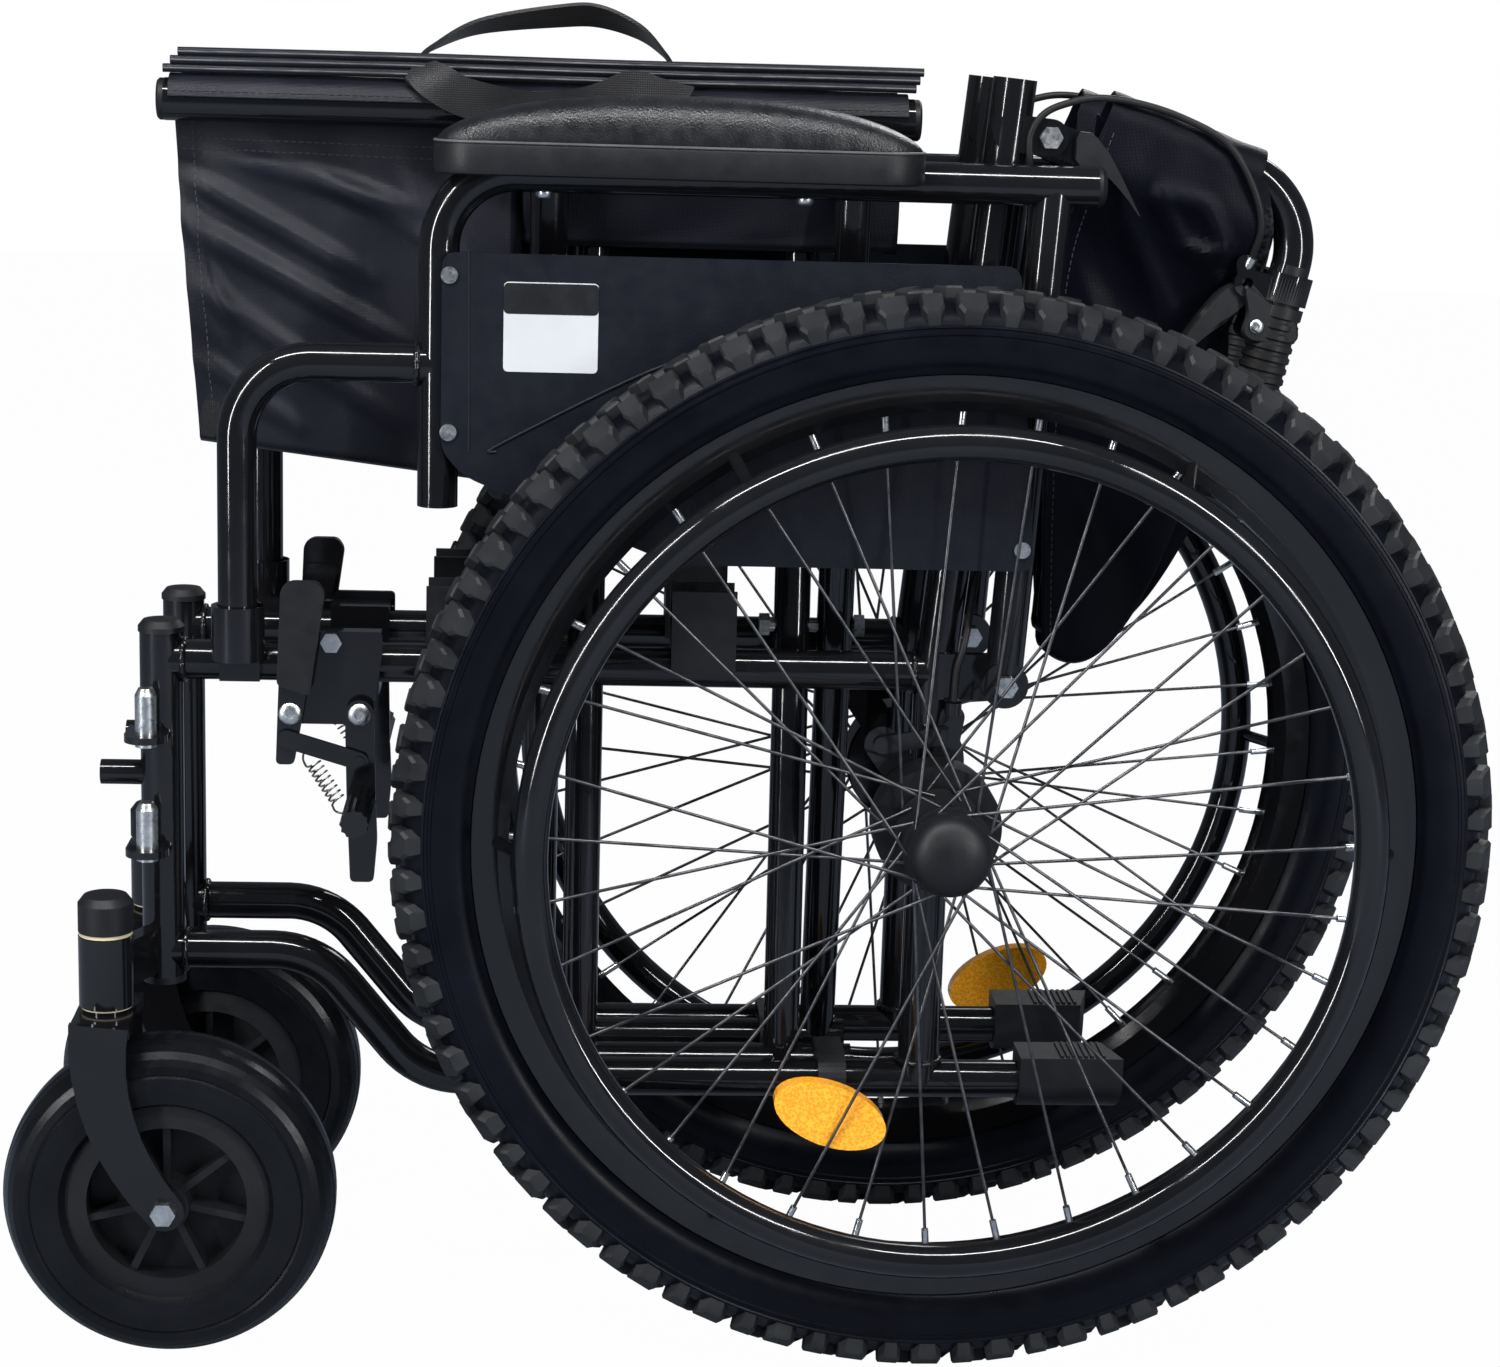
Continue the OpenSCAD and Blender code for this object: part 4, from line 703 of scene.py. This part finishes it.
def shoulder_rings(half, side):
    """Outlines of a shoulder block, narrowing toward the sidewall."""
    rings = []
    for ((a, near), (b, mid), (c, far)), h in SHOULDER:
        outline = [(-a, near), (a, near), (b, mid), (c, far), (-c, far), (-b, mid)]
        rings.append(([(half * u, side * v) for u, v in outline], h))
    return rings


def make_tyre(name, side):
    """Smooth casing with two rows of shoulder blocks and one of crown blocks."""
    shape = Shape()
    section = TYRE_SIDE + [(297.5, 0.0)] + [(r, -y) for r, y in reversed(TYRE_SIDE)]
    shape.add(*lathe((0, WHEEL_Y, WHEEL_R), section, TYRE_STEPS), group=1)
    pitch = 2 * math.pi / KNOBS
    for i in range(KNOBS):
        for face in (1, -1):
            tread_block(shape, i * pitch, shoulder_rings(SHOULDER_HALF[i % 2], face))
        move = (0, CROWN_SHIFT if i % 2 else -CROWN_SHIFT)
        rings = [(grown(CROWN_BLOCK, share, move), h) for share, h in CROWN_LEVELS]
        tread_block(shape, (i + 0.5) * pitch, rings)
    tyre = settle(
        shape, f"tread_tyre_{name}", side, [RUBBER, WALL], f"wheel_{name}", 28
    )
    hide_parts(f"tyre_{name}")


for side_name, side_sign in SIDES:
    make_tyre(side_name, side_sign)

# Arm pads

PAD_REAR, PAD_L, PAD_W = 22.0, 261.0, 48.0
PAD_Y = 88.0
PAD_LOW, PAD_BASE_TOP, PAD_CROWN = 657.5, 674.5, 26.0
PAD_LEVELS = (
    (PAD_LOW, 2.2), (PAD_LOW + 0.8, 0.8), (PAD_LOW + 3, 0),
    (PAD_BASE_TOP - 2, 0), (PAD_BASE_TOP - 0.6, 0.6), (PAD_BASE_TOP, 1.8),
)
COVER_INSET, COVER_LIFT = 1.2, 0.2
PAD_SCREWS_X, ARM_TUBE_Y = (224.5, 84.6), 76
PAD_SCREW = ((648.5, 4.6), (646.4, 4.6), (645.2, 3.6), (644.9, 1.4))


def pad_outline(inset, count=18):
    """Plan of the arm pad about its middle."""
    run, r = PAD_L / 2 - PAD_W / 2, PAD_W / 2 - inset
    turns = np.radians(np.linspace(-90, 90, count))
    ends = [(run + r * math.cos(a), r * math.sin(a)) for a in turns]
    return np.array(ends + [(-x, -y) for x, y in ends])


def make_pad(name, side):
    """Base with its seam, cushion and two screws from below."""
    centre = np.array([PAD_REAR + PAD_L / 2, PAD_Y])
    base = Shape()
    rings = [[(*(centre + p), z) for p in pad_outline(inset)] for z, inset in PAD_LEVELS]
    base.add(*loft(rings))
    edge = pad_outline(0.4)
    foot = PAD_BASE_TOP + COVER_LIFT
    path = np.array([(*(centre + p), foot) for p in np.vstack([edge, edge[:1]])])
    base.add(*tube(path, 0.7, 6), group=1)
    settle(base, f"pad_base_{name}", side, [PLASTIC, SEAM], f"armrest_{name}")
    cover = Shape()
    stations = -np.cos(np.linspace(0, np.pi, 61))
    over = [math.radians(a) for a in np.linspace(0, 180, 25)]
    arch = [
        (math.copysign(abs(math.cos(a)) ** 0.72, math.cos(a)), math.sin(a) ** 0.8) for a in over
    ]
    rings = []
    for s in stations[1:-1]:
        plan = (PAD_W / 2 - COVER_INSET) * (1 - abs(s) ** 6) ** 0.5
        rise = PAD_CROWN * (1 - abs(s) ** 2.6) ** 0.66
        top = [(y * plan, z * rise) for y, z in arch]
        low = [(y, -0.4) for y, _ in reversed(top[1:-1])]
        x = centre[0] + s * (PAD_L / 2 - COVER_INSET)
        rings.append([(x, centre[1] + y, foot + z) for y, z in top + low])
    cover.add(*loft(rings))
    cover = settle(cover, f"pad_cushion_{name}", side, VINYL, f"armrest_{name}", 60)
    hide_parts(f"arm_pad_{name}")
    screws = Shape()
    for x in PAD_SCREWS_X:
        screws.add(*rounds_z(x, ARM_TUBE_Y, PAD_SCREW, 16))
    settle(screws, f"pad_screws_{name}", side, ZINC, f"armrest_{name}")


for side_name, side_sign in SIDES:
    make_pad(side_name, side_sign)

# Seat cloth

RAIL_Y, RAIL_Z, WRAP_R = 25.79, 690.49, 13.4
SEAT_X = (26.0, 428.0)
DEEP_X, RAIL_FRONT, RAIL_REAR = 238.0, 431.0, 22.0
SHALLOW, DEEP = 72.0, 208.0
FRONT_RISE, FRONT_SLANT = 22.0, 12.0
FOLD_Y = 4.6
SEAT_T = 1.6
HEM_Z, HEM_W, HEM_T, HEM_STEP = 705.0, 18.0, 4.6, 4.5
WRAP_ROWS = 15
STITCHED_ROWS = (1, 21, 23)
STITCH_PITCH, STITCH_L, STITCH_R = 4.2, 2.6, 0.35
SEAT_TAB = [(403.4, 524.2), (413.4, 528.0), (416.8, 504.5), (405.6, 503.1)]
RAIL_PLUG = ((-0.5, 11.3), (2.6, 11.3), (3.8, 10.2), (4.2, 7.0))
SEAT_CREASES = (
    (((426, 652), (322, 596)), 5.5, 6.0),
    (((426, 626), (296, 556)), 6.5, 6.5),
    (((420, 592), (302, 512)), 5.0, 6.5),
    (((404, 662), (288, 632)), 4.5, 5.5),
    (((418, 552), (348, 500)), 4.2, 5.5),
    (((372, 666), (264, 604)), 3.6, 6.0),
    (((300, 660), (252, 548)), 3.0, 7.0),
    (((424, 640), (396, 560)), 3.0, 5.0),
)


def crease(x, z, line, height, width):
    """Rounded ridge along a line of the cloth, dying out at its ends."""
    a, b = np.array(line, float)
    way = b - a
    along = ((x - a[0]) * way[0] + (z - a[1]) * way[1]) / (way @ way)
    off = ((x - a[0]) * way[1] - (z - a[1]) * way[0]) / np.linalg.norm(way)
    ends = np.clip(np.minimum(along, 1 - along) * 4 + 0.3, 0, 1)
    return height * ends * np.exp(-((off / width) ** 2))


def deep_share(x):
    """Share of the way along the deep front part of the seat."""
    return np.clip((x - DEEP_X) / (RAIL_FRONT - DEEP_X), 0, 1)


def seat_depth(x):
    """Depth of the fold below the rails, shallow behind and deep in front."""
    drop = SHALLOW + (DEEP - SHALLOW) * np.clip((x - DEEP_X) / 14, 0, 1)
    return drop - FRONT_RISE * deep_share(x)


def seat_panel(side):
    """Half of the seat cloth, from the outer side of its rail over the top and down to the fold."""
    behind, ahead = np.linspace(SEAT_X[0], DEEP_X - 2, 40), np.linspace(DEEP_X, SEAT_X[1], 84)
    x = np.concatenate([behind, ahead])
    rows = []
    for turn in np.radians(np.linspace(-82, 90, WRAP_ROWS)):
        y = RAIL_Y - WRAP_R * math.sin(turn) + 0 * x
        z = RAIL_Z + WRAP_R * math.cos(turn) + 0 * x
        rows.append(np.stack([x, y, z], 1))
    top_y = RAIL_Y - WRAP_R
    depth = seat_depth(x)
    for k in np.linspace(0, 1, 64)[1:]:
        z = RAIL_Z - depth * k
        slanted = x - FRONT_SLANT * deep_share(x) * k
        bulge = np.sin(np.pi * min(1.0, k * 1.06)) * np.where(x > DEEP_X, 4.0, 1.5)
        fold = sum(crease(slanted, z, *c) for c in SEAT_CREASES)
        fold = fold + 0.7 * np.sin(0.09 * x - 9.0 * k)
        y = top_y + (FOLD_Y - top_y) * k + bulge + fold * min(1.0, 6 * k, 8 * (1.02 - k))
        rows.append(np.stack([slanted, np.maximum(y, FOLD_Y * 0.7), z], 1))
    return np.array(rows) * (1, side, 1)


def hem_layer(shape, side, layer):
    """One turned edge of the cloth lying on the rail, soft and a little wavy."""
    x = np.linspace(RAIL_REAR - 2 * layer, RAIL_FRONT - 4 * layer, 90)
    section = rounded_rect(-HEM_W / 2, HEM_W / 2, 0, HEM_T, 1.9, 5)
    rings = []
    for v in x:
        sway = 0.5 * math.sin(0.03 * v + 2.1 * layer) + 0.25 * math.sin(0.09 * v + layer)
        lift = 0.25 * math.sin(0.024 * v + 0.4)
        low = HEM_Z + HEM_STEP * layer + lift
        rings.append([(v, side * (RAIL_Y + sway + y), low + z) for y, z in section])
    shape.add(*loft(rings))
    edge = np.array([np.mean([ring[0], ring[-1]], axis=0) for ring in rings]) - (0, side * 0.15, 0)
    shape.add(*tube(edge, 0.55, 6), group=1)


def stitch_line(shape, line, above, below):
    """Row of short threads along a grid line of the cloth."""
    normal = np.cross(np.gradient(line, axis=0), above - below)
    normal /= np.linalg.norm(normal, axis=1)[:, None]
    run = np.concatenate([[0], np.cumsum(np.linalg.norm(np.diff(line, axis=0), axis=1))])
    outward = 1 if (normal[:, 1] * line[:, 1]).mean() > 0 else -1
    heights = (SEAT_T / 2, SEAT_T / 2 + STITCH_R, SEAT_T / 2)
    for s in np.arange(2.0, run[-1] - 4, STITCH_PITCH):
        steps = (s, s + STITCH_L / 2, s + STITCH_L)
        ends = [np.array([np.interp(t, run, line[:, k]) for k in range(3)]) for t in steps]
        lift = np.array([np.interp(s, run, normal[:, k]) for k in range(3)]) * outward
        path = [end + lift * height for end, height in zip(ends, heights)]
        shape.add(*tube(path, STITCH_R, 5), group=1)


def make_seat():
    """Folded seat cloth, its hems on the rails, the rail plugs and a small tab."""
    left, right = seat_panel(1), seat_panel(-1)
    fold = (left[-1] + right[-1]) / 2 - (0, 0, 2.4)
    grid = np.concatenate([left, fold[None], right[::-1]])
    shape = Shape()
    shape.add(*cloth_skin(grid, SEAT_T))
    for half in (left, right):
        for row in STITCHED_ROWS:
            stitch_line(shape, half[row], half[row + 1], half[row - 1])
        hanging = half[WRAP_ROWS + 1 :]
        stitch_line(shape, hanging[:, -5], hanging[:, -4], hanging[:, -6])
    seat = shape.make("seat_cloth", [NYLON, THREAD], 60)
    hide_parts("seat_sling")
    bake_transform(seat)
    for body, side in (("brace_b", 1), ("brace_a", -1)):
        hem = Shape()
        for layer in range(3):
            hem_layer(hem, side, layer)
        hem = settle(hem, f"seat_hem_{body}", 1, [NYLON, SEAM], body, 60)
        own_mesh(hem)
        plugs = Shape()
        for x, way in ((RAIL_FRONT, 1), (RAIL_REAR, -1)):
            levels = [(x + out * way, r) for out, r in RAIL_PLUG]
            plugs.add(*rounds_x(side * RAIL_Y, RAIL_Z, levels))
        settle(plugs, f"rail_plugs_{body}", 1, PLASTIC, body)
    strap = Shape()
    strap.add(*plate(softened(SEAT_TAB, 1), FOLD_Y - 0.4, FOLD_Y + 1.8, 0.5))
    settle(strap, "seat_tab", 1, WEBBING, "brace_b")


LOOP_T = 2.0
LOOP_EDGE, LOOP_CORD_R = 0.9, 0.75
FAR_LOOP = [
    ((296, -26, 716), (0, 12, 0)), ((288, -26, 722.5), (0, 12, 0.6)),
    ((262.4, -26, 734.5), (0, 11, 3.4)), ((217.8, -26, 741.5), (0, 10.4, 5.4)),
    ((195.4, -26, 742), (0, 10.4, 5.4)), ((172.7, -26, 734), (0, 11, 3.4)),
    ((159, -26, 722.5), (0, 12, 0.6)), ((154, -26, 716), (0, 12, 0)),
]
NEAR_LOOP = [
    ((297, 33, 711), (4, 6, -6)), ((284, 40.5, 704), (6, 2, -8.5)),
    ((266, 43.5, 695.5), (3, 1, -10)), ((228, 44.5, 689), (0, 0.5, -11)),
    ((197, 44, 695), (-4, 1, -9.5)), ((178, 42.5, 704), (-1, 2, -9)),
    ((163, 41.5, 700), (4, 2, -8.5)), ((148, 41, 697), (4, 2, -8)),
]


def make_loops():
    """Webbing loops; each point of a table has the half width there as a vector."""
    for body, table in (("brace_b", NEAR_LOOP), ("brace_a", FAR_LOOP)):
        path = smooth_path([p for p, _ in table], 8)
        across = smooth_path([a for _, a in table], 8)
        loop = Shape()
        loop.add(*ribbon(path, across, LOOP_T))
        for edge in (-LOOP_EDGE, LOOP_EDGE):
            loop.add(*tube(path + across * edge, LOOP_CORD_R, 6), group=1)
        settle(loop, f"pull_loop_{body}", 1, [WEBBING, THREAD], body, 60)


make_seat()
make_loops()

# Back cloth

CANE_AXIS = np.array([-56.5, 50.0, 704.9])
CANE_DIR = np.array([-0.9444, 0.0, -0.3289])
CANE_ACROSS = np.array([-0.3289, 0.0, 0.9444])
BACK_T = 1.6
SLEEVE_R = 13.4
SLEEVE_RUN = (25.0, 116.0)
SLEEVE_COLS = 17
HANG_Y, HANG_IN = 33, 23
MESH_FROM, MESH_COLS = 0.9, (22, 52)
BACK_CREASES = (
    (((-106, 658), (-138, 650)), 7.5, 4.2),
    (((-136, 652), (-150, 622)), 6.5, 4.2),
    (((-108, 658), (-128, 625)), 6.5, 3.8),
    (((-126, 628), (-152, 622)), 5.5, 3.6),
    (((-128, 630), (-154, 604)), 5.5, 3.6),
    (((-90, 648), (-136, 570)), 4.6, 7.0),
    (((-72, 612), (-122, 506)), 4.4, 7.5),
    (((-64, 540), (-104, 426)), 3.6, 7.0),
    (((-150, 596), (-132, 500)), 3.2, 6.0),
)


def back_depth(u):
    """Depth the cloth hangs, by its place along the cane."""
    return 300 + 60 * u - 195 * u**2


def back_outer(side):
    """Outer ply: a sleeve over the folded cane, then cloth that hangs in toward the middle."""
    u = np.linspace(0, 1, 48)
    first, last = SLEEVE_RUN
    axis = CANE_AXIS + (first + (last - first) * u[:, None]) * CANE_DIR
    columns = []
    outward = np.array([0, 1, 0])
    for turn in np.radians(np.linspace(-96, 96, SLEEVE_COLS)):
        r = SLEEVE_R + 0.3 * np.sin(21 * u + 3 * turn)
        way = math.cos(turn) * CANE_ACROSS + math.sin(turn) * outward
        columns.append(axis + r[:, None] * way)
    start = columns[-1]
    for s in np.linspace(0, 1, 76)[1:]:
        drop = back_depth(u) * s
        below = np.clip(drop - 20, 0, None)
        y = HANG_Y - HANG_IN * s**2 + (start[:, 1] - HANG_Y) * np.exp(-((below / 38) ** 2))
        front = 25 * (1 - np.exp(-drop / 55)) - 12 * s**2
        rear = -12 * np.exp(-((drop / 34 - 1.1) ** 2)) + 14 * s
        x = start[:, 0] + front * (1 - u) + rear * u
        z = start[:, 2] - drop
        puff = 7 * np.exp(-(((u - 0.8) / 0.24) ** 2) - ((drop - 58) / 30) ** 2)
        fold = sum(crease(x, z, *c) for c in BACK_CREASES) + 1.1 * np.sin(13 * s + 7 * u)
        y = y + puff + fold * min(1.0, 5 * s) * (1.1 - s)
        columns.append(np.stack([x, np.maximum(y, 3.0), z], 1))
    return np.stack(columns, axis=1) * (1, side, 1)


def back_inner(side):
    """Inner ply, close to the fold between the two sides."""
    u, s = np.meshgrid(np.linspace(0, 1, 44), np.linspace(0, 1, 60), indexing="ij")
    top = CANE_AXIS + (24 + 84 * u[..., None]) * CANE_DIR
    wave = 1.4 * np.sin(7.3 * u + 2.6 * s) + 0.8 * np.sin(15 * u - 6 * s + 0.7)
    y = 30 - 22 * np.sin(np.pi / 2 * s) + wave * np.sin(np.pi * s)
    x = top[..., 0] - 10 * u * s + 16 * s * (1 - u)
    z = top[..., 2] - back_depth(u) * s * 0.97
    return np.stack([x, np.maximum(y, 2.0) * side, z], -1)


def open_cells(shape, grid):
    """Spacer mesh on the rear corner of the cloth, below the sleeve."""
    rows, cols = grid.shape[:2]
    count = (rows - 1) * (cols - 1)
    for i in range(count):
        row, col = divmod(i, cols - 1)
        if row > MESH_FROM * rows and MESH_COLS[0] < col < MESH_COLS[1]:
            shape.groups[i] = shape.groups[count + i] = 2


def make_back():
    """Two plies a side; the outer ones follow the canes, the inner ones the cross."""
    for name, side in SIDES:
        for ply, grid in (("outer", back_outer(side)), ("inner", back_inner(side))):
            inward = grid[:, -1] * (1, 0.5, 1) - (0, 0, 2.2)
            bottom = grid[:, -1] * (1, 0, 1) - (0, 0, 3.0)
            grid = np.concatenate([grid, inward[:, None], bottom[:, None]], axis=1)
            shape = Shape()
            shape.add(*cloth_skin(grid, BACK_T))
            if ply == "outer":
                open_cells(shape, grid)
                below = grid[:, SLEEVE_COLS:]
                stitch_line(shape, below[3], below[4], below[2])
                shape.add(*tube(below[1, ::2], 1.1, 8))
            # Both plies wear the darker nylon that paints the shade on the back.
            panel = shape.make(f"back_{ply}_{name}", [SHADED_BACK_NYLON, THREAD, MESH], 60)
            if ply == "outer":
                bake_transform(panel)
                if side > 0:
                    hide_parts("back_sling")
            else:
                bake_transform(panel)


make_back()

# Brake cables

CABLE = [
    (-164.5, 57.5, 621), (-167, 66, 640), (-160, 68.5, 662), (-145, 66.6, 684), (-120, 62.6, 697),
    (-95, 63, 704), (-74, 63, 706), (-58, 63, 703), (-45, 63, 697), (-38, 63, 686),
    (-38, 62.5, 672), (-41, 55, 655), (-41, 49, 628), (-37, 48, 590), (-32, 48, 540),
    (-27, 48, 490), (-22, 50, 448), (-19, 56, 430), (-16, 64, 416), (-13, 68.5, 402),
    (-10, 69, 390), (-9, 69, 372),
]
CABLE_R, FERRULE_R = 2.0, 3.1
FERRULE = [(-159.4, 53.5, 609.5), (-164.8, 58, 622.4)]


def make_cables():
    """Sheaths from the hand levers to the hub brakes, and their ferrules."""
    for name, side in SIDES:
        path = smooth_path(mirrored(CABLE, side), 6)
        shape = Shape()
        shape.add(*tube(path, CABLE_R, 12))
        cable = shape.make(f"cable_sheath_{name}", SOFT, 60)
        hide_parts(f"brake_cable_{name}")
        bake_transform(cable)
        ferrule = Shape()
        ferrule.add(*tube(np.linspace(*np.array(FERRULE), 4), FERRULE_R, 14))
        settle(ferrule, f"cable_ferrule_{name}", side, ZINC, f"cane_{name}")


make_cables()

# Hand brakes and cane latches

LEVER = [
    (-160.4, 609.2), (-150.9, 606.5), (-138.3, 591.1), (-124.5, 570.6), (-130.8, 567.2),
    (-143.5, 579.0), (-154.5, 587.0), (-161.4, 593.4), (-166.6, 599.4),
]
LEVER_Y, LEVER_BEVEL = (44.2, 55.8), 2.4
HOUSING = [
    (-160.0, 609.3), (-173.1, 600.2), (-191.8, 589.0), (-193.3, 576.7),
    (-182.0, 574.7), (-165.7, 576.0), (-160.0, 581.2), (-163.6, 591.9),
]
HOUSING_SCREW, SCREW_SHARE = (-168.7, 585.0), 0.62
LATCH = [
    (-62.8, 688.2), (-71.6, 687.7), (-82.9, 675.0), (-94.7, 653.0),
    (-101.4, 640.4), (-90.4, 654.6), (-79.9, 664.6), (-62.1, 669.3),
]
LATCH_Y = (63.8, 66.2)
CHEEKS = ((56.4, 61.6), (38.4, 43.6))
SCREW_HEAD = [(0.05, 1.6), (2.4, 1.6), (2.6, 3.0), (4.8, 2.8), (6.2, 1.6), (6.4, 0.0), (0.05, 0.0)]


def make_hand_brake(name, side):
    """Lever blade, two housing cheeks with a screw, and the latch plate."""
    blade = Shape()
    blade.add(*plate(softened(LEVER), *LEVER_Y, LEVER_BEVEL))
    blade = settle(
        blade, f"lever_blade_{name}", side, PLASTIC, f"brake_lever_{name}"
    )
    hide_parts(f"brake_lever_{name}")
    housing = Shape()
    for low, high in CHEEKS:
        housing.add(*plate(softened(HOUSING), low, high, 1.4))
    screw_x, screw_z = HOUSING_SCREW
    head = np.multiply(SCREW_HEAD, SCREW_SHARE)
    housing.add(*lathe((screw_x, CHEEKS[0][1], screw_z), head, 20), group=1)
    materials = [PLASTIC, ZINC]
    settle(housing, f"lever_housing_{name}", side, materials, f"cane_{name}")
    latch = Shape()
    latch.add(*plate(softened(LATCH, 1), *LATCH_Y, 0.6))
    settle(latch, f"cane_latch_{name}", side, PLASTIC, f"cane_{name}")


for side_name, side_sign in SIDES:
    make_hand_brake(side_name, side_sign)

# Welds, hub caps and screws

TUBE_WELDS = (
    ("frame", (0, 50, 155.4), (0, 0, 1), 12.2),
    ("frame", (12.6, 50, 385), (1, 0, 0), 11.2),
    ("frame", (420.4, 50, 385), (1, 0, 0), 11.2),
    ("frame", (420.4, 50, 217), (1, 0, 0), 11.2),
    ("armrest", (291.2, 76, 555), (1, 0, 0), 10.9),
)
HUB_DOME = [(0.05, 43.5), (8, 42.8), (14, 41.0), (19.2, 38.0), (22.2, 33.6), (23, 28), (23, 23)]
WELD_R, WELD_RIPPLE, WELD_RIPPLES = 1.7, 0.14, 18
STEM_RING = [(199.7, 13.2), (199.9, 14.0), (200.8, 14.0), (200.9, 13.2)]
STEM = (458.0, 102.0)
CASTER_X, CASTER_R = 424.0, 92.0
CASTER_LINES = (-7.0, 0.0, 7.0)
SPRING_HOOKS = (
    [(337.1, 71.15, 307.7), (335.4, 71.15, 304.4), (331.8, 71.15, 303.2), (327.4, 71.15, 304.6)],
    [(351.5, 71.15, 329.7), (353.0, 72.0, 333.6), (352.6, 73.4, 337.6), (351.0, 74.6, 341.0)],
)
PARKING_SCREWS = (("parking_lever", 360.0), ("parking_shoe", 322.0))
PARKING_FACE, PARKING_Z = 73.0, 360.0


def weld_ring(shape, centre, axis, radius):
    """Rippled bead round the end of a tube."""
    axis = np.array(axis, float)
    side = np.cross(axis, (0.3, 0.5, 0.81))
    side /= np.linalg.norm(side)
    turn = np.linspace(0, 2 * np.pi, 73)
    circle = np.outer(np.cos(turn), side) + np.outer(np.sin(turn), np.cross(axis, side))
    path = np.array(centre) + radius * circle
    shape.add(*tube(path, WELD_R * (1 + WELD_RIPPLE * np.sin(turn * WELD_RIPPLES)), 8))


def make_caster_trim(name, side):
    """Cream ring under the stem housing and three fine lines round the crown of the tyre."""
    ring = Shape()
    ring.add(*rounds_z(*STEM, STEM_RING))
    settle(ring, f"caster_ring_{name}", side, CREAM, f"caster_{name}")
    lines = Shape()
    turn = np.linspace(0, 2 * np.pi, 129)
    for y in CASTER_LINES:
        r = CASTER_R - 0.45 - 0.008 * y * y
        x, z = CASTER_X + r * np.sin(turn), CASTER_R + r * np.cos(turn)
        path = np.stack([x, STEM[1] + y + 0 * turn, z], 1)
        lines.add(*tube(path, 0.42, 6))
    settle(lines, f"caster_lines_{name}", side, WALL, f"caster_wheel_{name}", 60)


def make_details(name, side):
    """Weld beads, hub cap, spring hooks and parking brake screws."""
    for body in ("frame", "armrest"):
        welds = Shape()
        for owner, centre, axis, radius in TUBE_WELDS:
            if owner == body:
                weld_ring(welds, centre, axis, radius)
        settle(welds, f"welds_{body}_{name}", side, PAINT, f"{body}_{name}", 60)
    cap = Shape()
    dome = smooth_path(HUB_DOME, 4).tolist()
    cap.add(*lathe((0, WHEEL_Y, WHEEL_R), dome + [(0.05, 23)], 64))
    settle(cap, f"hub_cap_{name}", side, PLASTIC, f"wheel_{name}")
    hooks = Shape()
    for hook in SPRING_HOOKS:
        hooks.add(*tube(smooth_path(hook, 5), 0.6, 8))
    settle(hooks, f"spring_hooks_{name}", side, STEEL, f"parking_shoe_{name}", 60)
    for body, x in PARKING_SCREWS:
        screw = Shape()
        screw.add(*lathe((x, PARKING_FACE, PARKING_Z), SCREW_HEAD, 28))
        settle(screw, f"{body}_screw_{name}", side, ZINC, f"{body}_{name}")


for side_name, side_sign in SIDES:
    make_details(side_name, side_sign)
    make_caster_trim(side_name, side_sign)

# Skirt guards

SKIRT_FACE = 90.2
BEAD = [(248.2, 509.6), (245.5, 514.3), (159.6, 558.1), (128.7, 558.8), (-20, 558.8)]
FLANGE = [(262.8, 509.3), (263.3, 560), (263.9, 618.0)]
STICKER_X, STICKER_Z = (194.5, 245), (553.4, 601.3)
HEADER_DROP, HEADER_GAP = 17, 0.6
STICKER_CORNER = 2.5


def make_skirt(name, side):
    """Pressed bead and front flange of the guard."""
    bead = Shape()
    bead.add(*tube(smooth_path([(x, SKIRT_FACE - 0.3, z) for x, z in BEAD], 8), 1.1, 8))
    bead.add(*tube(smooth_path([(x, SKIRT_FACE - 0.2, z) for x, z in FLANGE], 8), 0.8, 8))
    settle(bead, f"skirt_bead_{name}", side, PANEL, f"armrest_{name}", 60)


def make_sticker(name, side):
    """Blank paper sticker with a dark header, on the one side that shows it."""
    low, top = STICKER_Z
    layers = ((low, top, 0.25, 0), (top - HEADER_DROP, top - HEADER_GAP, 0.4, 1))
    sticker = Shape()
    for z_low, z_high, lift, group in layers:
        outline = rounded_rect(*STICKER_X, z_low, z_high, STICKER_CORNER)
        rings = [[(x, SKIRT_FACE + y, z) for x, z in outline] for y in (0.0, lift)]
        sticker.add(*loft(rings), group=group)
    materials = [PAPER, PLASTIC]
    settle(sticker, f"skirt_sticker_{name}", side, materials, f"armrest_{name}")


for side_name, side_sign in SIDES:
    make_skirt(side_name, side_sign)
make_sticker(*SIDES[0])
